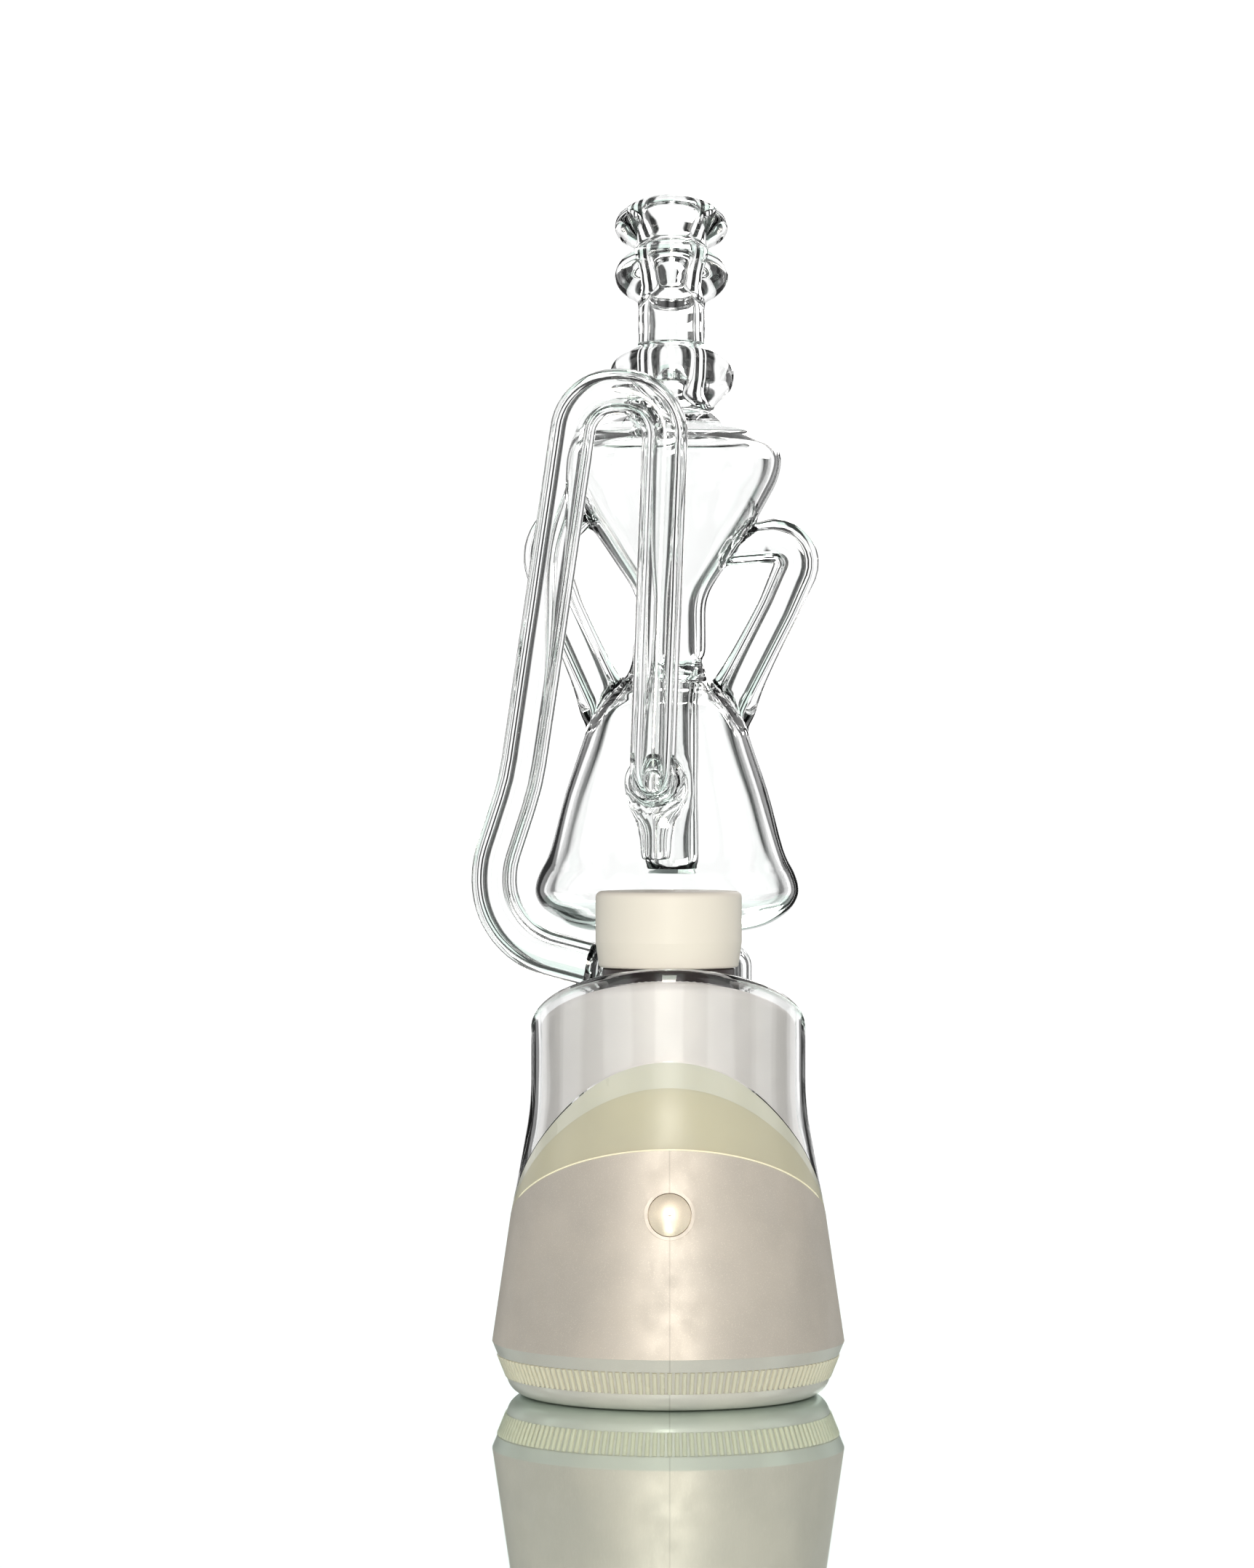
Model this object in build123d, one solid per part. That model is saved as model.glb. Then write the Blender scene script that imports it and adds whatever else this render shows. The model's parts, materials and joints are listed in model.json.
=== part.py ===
"""Portable battery vaporiser with a lampworked glass recycler top.

Frame: millimetres, +Z up, origin at the centre of the foot's underside. The button faces -Y.
A translucent round base carries a heated bowl under a ceramic cap. A clear glass sleeve slips
over the base's tower and carries the water can, the funnel, the looping intake tube, the two
return arms and the mouthpiece.
"""
import os
from math import atan, cos, degrees, radians, sin, tan

from build123d import *

# ---------------------------------------------------------------- driving dimensions: base
base_diameter = 70.0        # widest point, at the sharp corner over the foot
foot_height = 10.5          # from the table to the sharp corner
foot_waist_height = 3.5     # where the foot's rounded edge meets its flare
foot_flare = 2.9            # radial growth of the flare up to the corner
foot_contact_inset = 4.1    # radial width of the foot's rounded bottom edge
foot_wall = 4.0
flute_band_height = 4.4     # band of the flare that is fluted
flute_depth = 0.35
shell_wall = 2.0
shell_taper = 0.147         # radius lost per millimetre of height, lower shell
shell_rear_height = 35.0    # top edge of the lower shell behind the button
shell_edge_slope = 0.53     # rise of that edge towards the front
rim_rear_height = 36.6      # bottom rim of the glass sleeve behind the button
rim_slope = 1.13            # rise of the glass rim towards the front
band_rear_height = 34.6     # lower edge of the frosted arch, where it runs out
band_slope = 1.01
edge_blend_radius = 18.0    # rounds the level rear edges into the sloped front ones
window_wall = 1.8

# ---------------------------------------------------------------- driving dimensions: tower
sleeve_taper = 0.182        # radius lost per millimetre of height, over the lower sleeve
sleeve_cone_height = 17.3   # height over which that taper is straight
sleeve_bend_radius = 57.0   # arc from the taper to the upright part
tower_top_height = 73.0     # slanted top of the tower, on the axis
top_slope = 0.42            # rise of the slanted tops towards the front
tower_wall = 2.0
tower_edge_fillet = 2.0
tower_foot_overlap = 2.5    # how far the tower reaches down inside the lower shell

# ---------------------------------------------------------------- driving dimensions: button
button_height = 38.0
button_diameter = 8.2
button_travel = 0.6
bezel_rim = 0.65
bezel_depth = 3.0
bezel_proud = 0.2
button_dome = 0.9
slide_gap = 0.15            # running gap round the button

# ---------------------------------------------------------------- driving dimensions: chamber
chamber_y = -9.5            # the heated chamber stands in front of the axis
collar_diameter = 26.0
collar_wall = 2.1
collar_top_height = 84.9
collar_length = 18.9
chamber_gap = 0.3           # between the collar and its well
well_wall = 1.4
well_floor = 2.0
bowl_diameter = 19.0
bowl_bore = 15.6
bowl_depth = 10.0
bowl_rise = 1.6             # bowl rim above the collar
oring_section = 1.5
oring_proud = 0.15          # how far the o-ring stands out of the collar
cap_diameter = 28.8
cap_height = 15.0
cap_bottom_inset = 0.7
cap_roof = 10.5
cap_top_fillet = 1.3
cap_bottom_fillet = 0.6
cap_gap = 0.3
seal_wall = 0.8
seal_height = 2.0
air_port_diameter = 2.2

# ---------------------------------------------------------------- driving dimensions: glass
glass_wall = 1.8            # sleeve wall
glass_top_wall = 1.6
glass_gap = 0.35            # between the sleeve and the tower
sleeve_edge_fillet = 2.5
cap_passage_gap = 0.7       # the sleeve's hole lifts past the cap
hump_y = 15.5
hump_half_width = 17.0
hump_half_depth = 8.0
hump_top_height = 89.0
hump_crown_fillet = 5.0
vessel_wall = 2.2
level_cut_steepness = 0.75  # sine of the steepness over which an open glass end is cut level
can_y = 34.0
can_diameter = 54.6
can_floor_height = 90.2
can_height = 54.8
can_floor_radius = 15.0
can_shoulder_radius = 15.8
neck_x = 1.0                # the funnel and mouthpiece stand a little right of the can
neck_diameter = 14.0
neck_wall = 2.0
neck_length = 14.0
funnel_diameter = 45.2
funnel_height = 38.2
funnel_mouth_radius = 9.1
drain_diameter = 11.0
drain_bore = 7.4
drain_end_clearance = 12.8  # drain tube's open end above the can floor
post_diameter = 11.0
post_x = -8.0
post_setback = 12.5         # post in front of the can's axis

intake_diameter = 9.2
intake_bore = 5.2
intake_low_z = 85.7
intake_entry_height = 31.0  # where the intake meets the can wall, above the can floor
arm_diameter = 8.5
arm_bore = 4.9
weld_half_width = 7.0
weld_half_height = 5.5
weld_depth = 3.2
nozzle_tip_diameter = 5.9
nozzle_head_diameter = 11.0
nozzle_length = 16.0
nozzle_setback = 5.6        # nozzle's axis behind the can's outer wall
nozzle_bore = 3.0

mouth_lean_low = 5.0        # degrees, backwards
mouth_lean_high = 15.0
ring_low_diameter = 25.6
ring_low_thickness = 10.3
ring_mid_diameter = 23.4
ring_mid_thickness = 10.5
stem_diameter = 13.8
stem_bore = 9.6
stem_run = 5.2              # straight run each side of the stem's bend
stem_bend_radius = 26.0
cone_length = 2.8
mouth_tube_length = 1.3
lip_diameter = 23.4
lip_length = 9.6

# ---------------------------------------------------------------- driving dimensions: inside
plate_thickness = 2.0
plate_recess = 0.8
pad_outer_radius = 18.5
pad_inner_radius = 10.0
screw_circle_radius = 22.5
screw_count = 4
screw_diameter = 2.2
screw_head_diameter = 4.2
screw_head_height = 1.2
screw_length = 6.4
fit_gap = 0.1
cell_diameter = 18.2
cell_length = 35.0
cell_x = 10.6
cell_y = 9.0
chassis_floor_height = 6.0
chassis_wall = 1.6
chassis_height = 30.0
board_width = 34.0
board_height = 36.0
board_thickness = 1.6
board_y = -5.0
led_board_radius = 18.0
usb_width = 9.0
usb_height = 3.3
usb_depth = 7.4
usb_z = 16.0
motor_diameter = 10.0
motor_thickness = 3.0
switch_size = 6.0
switch_thickness = 2.6
pin_diameter = 2.4
pin_length = 5.0
pin_spacing = 2.6

# ---------------------------------------------------------------- derived sizes
far = 4 * base_diameter
base_radius = base_diameter / 2
foot_waist_radius = base_radius - foot_flare
foot_inner_radius = foot_waist_radius - foot_contact_inset - 1.0
taper_angle = degrees(atan(shell_taper))
sleeve_foot_radius = base_radius - shell_taper * (shell_rear_height - foot_height)
sleeve_bend_angle = atan(sleeve_taper)
bend_start_z = shell_rear_height + sleeve_cone_height
bend_start_radius = sleeve_foot_radius - sleeve_taper * sleeve_cone_height
bend_end_z = bend_start_z + sleeve_bend_radius * sin(sleeve_bend_angle)
waist_radius = bend_start_radius - sleeve_bend_radius * (1 - cos(sleeve_bend_angle))
tower_inset = glass_wall + glass_gap
tower_bottom_z = shell_rear_height - tower_foot_overlap
collar_radius = collar_diameter / 2
collar_bottom_z = collar_top_height - collar_length
well_radius = collar_radius + chamber_gap
cap_radius = cap_diameter / 2
glass_top_height = tower_top_height + glass_gap + glass_top_wall
contact_radius = pin_spacing + pin_diameter / 2 + 0.6
can_top_z = can_floor_height + can_height
funnel_bottom_z = can_top_z + neck_length
funnel_top_z = funnel_bottom_z + funnel_height
intake_entry_z = can_floor_height + intake_entry_height


# ---------------------------------------------------------------- helpers
def turned(points, close=True):
    """Solid of revolution about Z from straight-sided (radius, height) points."""
    return revolve(Plane.XZ * make_face(Polyline(*points, close=close)), Axis.Z)


def ring(outer_radius, inner_radius, low, high):
    """Plain upright ring on the Z axis."""
    return turned([(inner_radius, low), (outer_radius, low), (outer_radius, high), (inner_radius, high)])


def rod(radius, low, high, x=0.0, y=0.0):
    """Plain upright cylinder."""
    return Pos(x, y, (low + high) / 2) * Cylinder(radius, high - low)


def sleeve_form(inset, low, high):
    """Solid body of the tower's waisted form, shrunk by inset all round."""
    foot = sleeve_foot_radius - inset + sleeve_taper * (shell_rear_height - low)
    start = Vector(bend_start_radius - inset, bend_start_z)
    end = Vector(waist_radius - inset, bend_end_z)
    low_point = Vector(foot, low)
    outline = [
        Line((0, low), low_point),
        Line(low_point, start),
        TangentArc(start, end, tangent=start - low_point),
        Line(end, (end.X, high)),
        Line((end.X, high), (0, high)),
        Line((0, high), (0, low)),
    ]
    return revolve(Plane.XZ * make_face(outline), Axis.Z)


def above_arch(level, slope):
    """Everything over an edge that is level behind the axis and climbs towards the front."""
    edge = FilletPolyline((-far, level + slope * far), (0, level), (far, level), radius=edge_blend_radius)
    roof = level + 2 * slope * far
    closing = Polyline((far, level), (far, roof), (-far, roof), (-far, level + slope * far))
    return extrude(Plane.YZ * make_face([*edge.edges(), *closing.edges()]), amount=far, both=True)


def above_slant(level):
    """Everything over the slanted plane that passes the axis at this level."""
    rise = top_slope * far
    outline = Polyline((-far, level + rise), (far, level - rise), (far, 2 * far), (-far, 2 * far), close=True)
    return extrude(Plane.YZ * make_face(outline), amount=far, both=True)


def offset_outline(points, wall):
    """Points of the inner face of a wall, square to the outer outline. A steep open end is cut level."""
    inner = []
    last = len(points) - 1
    for index, (radius, height) in enumerate(points):
        before = points[max(index - 1, 0)]
        after = points[min(index + 1, last)]
        run = Vector(after[0] - before[0], after[1] - before[1]).normalized()
        if index in (0, last) and abs(run.Y) > level_cut_steepness:
            inner.append((radius - wall / abs(run.Y), height))
        else:
            inner.append((max(radius - wall * run.Y, 0.0), height + wall * run.X))
    return inner


def smooth_form(points):
    """Solid body inside a smooth outline that runs from bottom to top."""
    outline = [
        Spline(*points),
        Polyline(points[-1], (0, points[-1][1]), (0, points[0][1]), points[0])
        if points[0][0] > 0 else Polyline(points[-1], (0, points[-1][1]), points[0]),
    ]
    edges = [edge for part in outline for edge in part.edges()]
    return revolve(Plane.XZ * make_face(edges), Axis.Z)


def smooth_wall(points, wall):
    """Blown glass wall of even thickness that follows a smooth outer outline."""
    inner = offset_outline(points, wall)
    edges = [
        Spline(*points),
        Line(points[-1], inner[-1]),
        Spline(*inner),
        Line(inner[0], points[0]),
    ]
    return revolve(Plane.XZ * make_face(edges), Axis.Z)


def run_tube(points, radii, diameter, bore=0.0):
    """Tube along straight runs that are joined by arcs."""
    path = FilletPolyline(*points, radius=radii) if radii else Line(*points)
    section = Plane(origin=path @ 0, z_dir=path % 0)
    profile = Circle(diameter / 2) - Circle(bore / 2) if bore else Circle(diameter / 2)
    return sweep(section * profile, path=path)


def between(start, end, height):
    """Point at this height on the straight run from start to end."""
    return start + (end - start) * ((height - start.Z) / (end.Z - start.Z))


def write(name, shape):
    """Write one node."""
    export_step(shape, f"parts/{name}.step")
    print(name, "solids", len(shape.solids()), "volume", round(shape.volume, 1))


# ---------------------------------------------------------------- base: foot and shells
def flare_radius(height):
    """Outer radius of the foot's flare at a height."""
    return foot_waist_radius + foot_flare * (height - foot_waist_height) / (foot_height - foot_waist_height)


def make_foot_ring():
    """Rounded foot with a flared, shallowly recessed band and a spigot for the lower shell."""
    flute_low = foot_waist_height + fit_gap
    flute_high = flute_low + flute_band_height
    spigot_radius = base_radius - shell_wall - fit_gap - shell_taper * plate_thickness
    spigot_top = foot_height + plate_thickness
    contact_radius = foot_waist_radius - foot_contact_inset
    edge_start = Vector(contact_radius, 0)
    edge_end = Vector(foot_waist_radius, foot_waist_height)
    outline = [
        Line((foot_inner_radius, 0), edge_start),
        TangentArc(edge_start, edge_end, tangent=(1, 0)),
        Polyline(
            edge_end,
            (flare_radius(flute_low), flute_low),
            (flare_radius(flute_low) - flute_depth, flute_low),
            (flare_radius(flute_high) - flute_depth, flute_high),
            (flare_radius(flute_high), flute_high),
            (base_radius, foot_height),
            (spigot_radius, foot_height),
            (spigot_radius, spigot_top),
            (spigot_radius - shell_wall, spigot_top),
            (spigot_radius - shell_wall, foot_height),
            (foot_inner_radius, chassis_floor_height),
            (foot_inner_radius, 0),
        ),
    ]
    edges = [edge for part in outline for edge in part.edges()]
    return revolve(Plane.XZ * make_face(edges), Axis.Z)


def shell_radius(height):
    """Outer radius of the lower shell at a height."""
    return base_radius - shell_taper * (height - foot_height)


button_plane = Plane(
    origin=(0, -shell_radius(button_height), button_height),
    x_dir=(1, 0, 0),
    z_dir=(0, -cos(radians(taper_angle)), sin(radians(taper_angle))),
)
bezel_radius = button_diameter / 2 + slide_gap + bezel_rim


def button_disc(radius, back, front):
    """Cylinder along the button's axis; heights are measured outwards from the shell."""
    return button_plane * Pos(0, 0, (back + front) / 2) * Cylinder(radius, front - back)


def make_lower_shell():
    """Tapered translucent shell, cut to a sloping top edge, with the button's hole and the socket's slot."""
    top = shell_rear_height + shell_edge_slope * base_radius
    shell = turned([
        (base_radius - shell_wall, foot_height),
        (base_radius, foot_height),
        (shell_radius(top), top),
        (shell_radius(top) - shell_wall, top),
    ])
    slot = Pos(0, base_radius, usb_z) * Box(usb_width + 2 * fit_gap, base_diameter / 2, usb_height + 2 * fit_gap)
    return shell - above_arch(shell_rear_height, shell_edge_slope) - button_disc(bezel_radius, -far / 8, far / 8) - slot


def window_shell():
    """Wall between the lower shell's edge and the glass rim, before it is split."""
    top = rim_rear_height + rim_slope * base_radius
    wall = sleeve_form(0, shell_rear_height - 1, top) - sleeve_form(window_wall, shell_rear_height - 2, top + 1)
    return wall & above_arch(shell_rear_height, shell_edge_slope)


def make_light_window():
    """Crescent lens over the lights."""
    return window_shell() - above_arch(band_rear_height, band_slope)


def make_window_arch():
    """Frosted arch that the glass sleeve's rim stands on."""
    return (window_shell() & above_arch(band_rear_height, band_slope)) - above_arch(rim_rear_height - chamber_gap, rim_slope)


def make_upper_shell():
    """Tower under the glass: waisted shell, slanted top and the chamber's well."""
    high = tower_top_height + top_slope * base_radius + tower_wall
    body = sleeve_form(tower_inset, tower_bottom_z, high) - above_slant(tower_top_height)
    body = fillet(body.edges().sort_by(Axis.Z).filter_by(GeomType.LINE, reverse=True)[-1:], tower_edge_fillet)
    hollow = sleeve_form(tower_inset + tower_wall, tower_bottom_z - 1, high) - above_slant(tower_top_height - tower_wall)
    well_low = collar_bottom_z - well_floor
    well = rod(well_radius + well_wall, well_low, high, y=chamber_y) & body
    shaft = rod(well_radius, collar_bottom_z, high, y=chamber_y)
    contact_hole = rod(contact_radius, well_low - 1, collar_bottom_z + 1, y=chamber_y)
    return (body - hollow) + well - shaft - contact_hole - button_disc(bezel_radius + well_wall, -far / 8, far / 8)


def make_button():
    """Domed button with a retaining flange behind its bezel."""
    radius = button_diameter / 2
    dome_radius = (radius ** 2 + button_dome ** 2) / (2 * button_dome)
    stem = button_disc(radius, -bezel_depth - slide_gap, button_dome)
    dome = button_plane * Pos(0, 0, button_dome - dome_radius) * Sphere(dome_radius)
    flange = button_disc(bezel_radius - slide_gap, -bezel_depth - 3 * slide_gap - 0.6, -bezel_depth - 2 * slide_gap)
    return (stem & dome) + flange + button_disc(radius, -bezel_depth - 3 * slide_gap - 0.6, -bezel_depth)


def make_button_bezel():
    """Ring pressed in the lower shell round the button."""
    return button_disc(bezel_radius, -bezel_depth, bezel_proud) - button_disc(
        bezel_radius - bezel_rim, -far / 8, far / 8)


# ---------------------------------------------------------------- base: inside

def screw_places():
    """Positions of the base screws."""
    return PolarLocations(screw_circle_radius, screw_count, start_angle=45)


def make_base_plate():
    """Round closing plate with counterbored screw holes and a recess for the pad."""
    plate = rod(foot_inner_radius - fit_gap, plate_recess, plate_recess + plate_thickness)
    recess = ring(pad_outer_radius + fit_gap, pad_inner_radius - fit_gap, 0, plate_recess + 0.6)
    holes = [place * rod(screw_diameter / 2 + fit_gap, 0, 9) for place in screw_places()]
    heads = [place * rod(screw_head_diameter / 2 + fit_gap, 0, plate_recess + screw_head_height) for place in screw_places()]
    return plate - recess - holes - heads


def make_base_screws():
    """Pan-head screws up through the plate."""
    head = rod(screw_head_diameter / 2, plate_recess, plate_recess + screw_head_height)
    shank = rod(screw_diameter / 2, plate_recess, plate_recess + screw_length)
    recess = Pos(0, 0, plate_recess) * Box(screw_head_diameter * 0.6, 0.6, 1.0)
    return Compound([place * ((head + shank) - recess) for place in screw_places()])


def make_chassis():
    """Floor, cell cradle walls and screw bosses."""
    floor_radius = foot_inner_radius - fit_gap
    floor = rod(floor_radius, chassis_floor_height, chassis_floor_height + chassis_wall)
    top = chassis_floor_height + chassis_height
    cradle = (
        Pos(0, cell_y, (chassis_floor_height + top) / 2)
        * Box(2 * cell_x + cell_diameter + 2 * chassis_wall, cell_diameter + 2 * chassis_wall, chassis_height)
    )
    cells = [rod(cell_diameter / 2 + fit_gap, chassis_floor_height + chassis_wall, far, x=side * cell_x, y=cell_y)
             for side in (-1, 1)]
    bosses = [place * rod(screw_head_diameter / 2, plate_recess + plate_thickness, chassis_floor_height + chassis_wall)
              for place in screw_places()]
    holes = [place * rod(screw_diameter / 2, 0, far / 4) for place in screw_places()]
    limit = rod(floor_radius, 0, far)
    return ((floor + cradle + bosses) & limit) - cells - holes


def make_cell(side):
    """Upright lithium cell with a raised positive end."""
    low = chassis_floor_height + chassis_wall
    can = fillet(rod(cell_diameter / 2, low, low + cell_length).edges(), 0.6)
    return Pos(side * cell_x, cell_y, 0) * (can + rod(3.5, low + cell_length - 1, low + cell_length + 0.8))


def make_main_board():
    """Upright control board in front of the cells, with two chips."""
    low = chassis_floor_height + chassis_wall
    board = Pos(0, board_y, low + board_height / 2) * Box(board_width, board_thickness, board_height)
    front = board_y - board_thickness / 2
    chips = [Pos(x, front - 0.6, low + z) * Box(size, 1.2, size) for x, z, size in ((-7, 12, 7), (6, 10, 5))]
    return board + chips


def make_led_board():
    """Ring board of lights under the chamber's well."""
    high = collar_bottom_z - well_floor - 2.0
    board = rod(led_board_radius, high - board_thickness, high)
    board -= rod(contact_radius + 1.0, high - far / 8, high + 1, y=chamber_y)
    lights = [place * rod(1.2, high - 0.2, high + 0.8) for place in PolarLocations(led_board_radius - 2.5, 8)]
    return board + lights


def make_usb_port():
    """Charging socket in the rear wall."""
    shell = Box(usb_width, usb_depth, usb_height)
    tongue = Box(usb_width - 2.6, usb_depth, 0.7)
    hollow = Pos(0, 0.8, 0) * Box(usb_width - 0.8, usb_depth, usb_height - 0.8)
    return Pos(0, shell_radius(usb_z) - usb_depth / 2 - 0.4, usb_z) * (shell - (hollow - tongue))


def make_motor():
    """Coin motor stuck to the chassis floor in front of the board."""
    low = chassis_floor_height + chassis_wall
    return rod(motor_diameter / 2, low, low + motor_thickness, y=board_y - motor_diameter)


def make_switch():
    """Tact switch behind the button, on its own small board."""
    back = -bezel_depth - 3 * slide_gap - 0.6 - button_travel - 2 * slide_gap
    plunger = button_disc(1.6, back - 1, back)
    body = button_plane * Pos(0, 0, back - 0.6 - switch_thickness / 2) * Box(switch_size, switch_size, switch_thickness)
    board = button_plane * Pos(0, 0, back - 0.6 - switch_thickness - 0.5) * Box(12, 9, 1.0)
    return plunger + body + board


def make_contact_block():
    """Insulator that holds the spring contacts under the chamber."""
    low = collar_bottom_z - well_floor
    block = rod(contact_radius - fit_gap, low - 2.0, collar_bottom_z - 0.4, y=chamber_y)
    return block - pin_set(pin_diameter / 2, low - 4, far / 2)


def pin_set(radius, low, high):
    """The three contacts in a row."""
    return [rod(radius, low, high, x=x, y=chamber_y) for x in (-pin_spacing, 0, pin_spacing)]


def make_contact_pins():
    """Three spring contacts."""
    top = collar_bottom_z - chamber_gap
    return Compound(pin_set(pin_diameter / 2 - 0.05, top - pin_length, top))


# ---------------------------------------------------------------- chamber and cap
def at_chamber(shape):
    """Place a turned piece on the chamber's axis."""
    return Pos(0, chamber_y, 0) * shape


bowl_top_z = collar_top_height + bowl_rise
bowl_floor_z = bowl_top_z - bowl_depth
heater_low_z = bowl_floor_z - 3.6
base_high_z = collar_bottom_z + 4.0
oring_z = collar_bottom_z + 7.0


def make_collar():
    """Dark metal collar, with a groove for its o-ring and a small lead on top."""
    inner = collar_radius - collar_wall
    groove = oring_section - oring_proud
    groove_z = oring_z
    body = ring(collar_radius, inner, collar_bottom_z, collar_top_height)
    cut = ring(collar_radius + 1, collar_radius - groove, groove_z - oring_section / 2, groove_z + oring_section / 2)
    return at_chamber(chamfer((body - cut).edges().group_by(Axis.Z)[-1], 0.3))


def make_chamber_oring():
    """Round sealing ring in the collar's groove."""
    centre = collar_radius + oring_proud - oring_section / 2
    return Pos(0, chamber_y, oring_z) * Torus(centre, oring_section / 2)


def make_chamber_base():
    """Brass base with a contact stub."""
    inner = collar_radius - collar_wall - fit_gap
    return at_chamber(rod(inner, collar_bottom_z + 0.2, base_high_z))


def make_insulator():
    """White sleeve between the bowl and the collar."""
    inner = collar_radius - collar_wall - fit_gap
    return at_chamber(ring(inner, bowl_diameter / 2 + fit_gap, base_high_z, collar_top_height - 0.6))


def make_heater():
    """Heating disc under the bowl, on three legs."""
    disc = rod(bowl_diameter / 2 - 0.5, heater_low_z + 1.6, bowl_floor_z - 1.6)
    legs = [place * rod(0.8, base_high_z, heater_low_z + 2.0) for place in PolarLocations(5.0, 3)]
    return at_chamber(disc + legs)


def make_bowl():
    """Ceramic cup with a rounded rim."""
    cup = rod(bowl_diameter / 2, bowl_floor_z - 1.6, bowl_top_z) - rod(bowl_bore / 2, bowl_floor_z, bowl_top_z + 1)
    return at_chamber(fillet(cup.edges().group_by(Axis.Z)[-1], 0.6))


def make_cap():
    """Short ceramic cap: rounded top, slightly drawn-in bottom, recess over the bowl and a rear air port."""
    low = collar_top_height + 0.05
    high = low + cap_height
    seal_radius = bowl_diameter / 2 + cap_gap + seal_wall
    outer = turned([
        (0, low), (cap_radius - cap_bottom_inset, low), (cap_radius, low + 5), (cap_radius, high), (0, high),
    ])
    outer = fillet(outer.edges().filter_by(GeomType.CIRCLE).group_by(Axis.Z)[-1], cap_top_fillet)
    outer = fillet(outer.edges().filter_by(GeomType.CIRCLE).group_by(Axis.Z)[0], cap_bottom_fillet)
    recess = rod(seal_radius, low - 1, high - cap_roof)
    pocket = rod(bowl_bore / 2, low - 1, high - cap_roof + 3)
    port_z = high - cap_roof + 2
    port = Pos(0, cap_radius / 2, port_z) * Rot(90, 0, 0) * Cylinder(air_port_diameter / 2, cap_radius + 4)
    return at_chamber(outer - recess - pocket - port)


def make_cap_seal():
    """Soft ring inside the cap that grips the bowl's rim."""
    inner = bowl_diameter / 2 + cap_gap
    low = collar_top_height + 0.5
    return at_chamber(ring(inner + seal_wall, inner, low, low + seal_height))


# ---------------------------------------------------------------- glass: sleeve and hump
def hump_form(inset, low):
    """Upright oval dome, shrunk by inset."""
    high = hump_top_height - inset
    oval = Pos(0, hump_y, low) * SlotOverall(2 * (hump_half_width - inset), 2 * (hump_half_depth - inset))
    body = extrude(oval, amount=high - low)
    return fillet(body.edges().group_by(Axis.Z)[-1], hump_crown_fillet - inset)


def make_glass_bell():
    """Clear sleeve over the tower, with a sloping rim, a slanted top and a hole for the cap."""
    high = glass_top_height + top_slope * base_radius + glass_wall
    outer = sleeve_form(0, shell_rear_height - 1, high) - above_slant(glass_top_height)
    outer = fillet(outer.edges().sort_by(Axis.Z).filter_by(GeomType.LINE, reverse=True)[-1:], sleeve_edge_fillet)
    hollow = sleeve_form(glass_wall, shell_rear_height - 2, high) - above_slant(glass_top_height - glass_top_wall)
    passage = rod(cap_radius + cap_passage_gap, tower_top_height - 15, far, y=chamber_y)
    chimney = hump_form(glass_wall, tower_bottom_z)
    return ((outer - hollow) & above_arch(rim_rear_height, rim_slope)) - passage - chimney


def make_bell_hump():
    """Hollow dome behind the cap that the intake tube leaves from."""
    low = tower_bottom_z + 10
    bore = run_tube(intake_points()[:2], None, intake_bore)
    return ((hump_form(0, low) - hump_form(glass_wall, low - 1)) & above_slant(glass_top_height)) - bore


# ---------------------------------------------------------------- glass: can
def can_outline():
    """Outer outline of the can: dished floor, round belly, long cone and sloping shoulder."""
    belly = can_diameter / 2
    low = can_floor_height
    shoulder = can_shoulder_radius
    return [
        (0.0, low),
        (can_floor_radius * 0.6, low),
        (can_floor_radius, low + 0.5),
        (belly - 4.6, low + 2.9),
        (belly, low + 8.8),
        (belly - 3.3, low + 17.4),
        (belly - 6.4, low + 29.0),
        (shoulder + 1.8, can_top_z - 16.0),
        (shoulder, can_top_z - 10.3),
        (neck_diameter / 2 + 2.9, can_top_z - 3.4),
        (neck_diameter / 2 + 0.4, can_top_z),
    ]


def at_can(shape):
    """Place a turned piece on the can's axis."""
    return Pos(0, can_y, 0) * shape


def at_neck(shape):
    """Place a turned piece on the funnel's axis."""
    return Pos(neck_x, can_y, 0) * shape


def can_wall_y(height):
    """Y of the can's front wall at a height, from its outline."""
    points = can_outline()[4:]
    for (r0, z0), (r1, z1) in zip(points, points[1:]):
        if z0 <= height <= z1:
            return can_y - (r0 + (r1 - r0) * (height - z0) / (z1 - z0))
    return can_y - can_diameter / 2


def make_can():
    """Blown can with holes for the intake, the arms and the drain."""
    wall = smooth_wall(can_outline(), vessel_wall)
    hole = run_tube(intake_points()[-2:], None, intake_bore)
    ports = [run_tube(points[:2], None, arm_bore) for points in (arm_points(-1), arm_points(1))]
    return at_can(wall) - hole - ports


def make_can_post():
    """Solid post that fuses the can's floor to the hump."""
    post = rod(post_diameter / 2, hump_top_height - 4, can_floor_height + 3, x=post_x, y=can_y - post_setback)
    intake = run_tube(intake_points()[:2], None, intake_diameter)
    return post - hump_form(0, tower_bottom_z) - at_can(smooth_form(can_outline())) - intake


def make_drain_tube():
    """Straight tube that returns water into the can."""
    low = can_floor_height + drain_end_clearance
    tube = at_neck(ring(drain_diameter / 2, drain_bore / 2, low, can_top_z))
    return tube & at_can(smooth_form(offset_outline(can_outline(), vessel_wall)))


def make_drain_neck():
    """Neck between the can and the funnel."""
    return at_neck(ring(neck_diameter / 2, neck_diameter / 2 - neck_wall, can_top_z, funnel_bottom_z))


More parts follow.
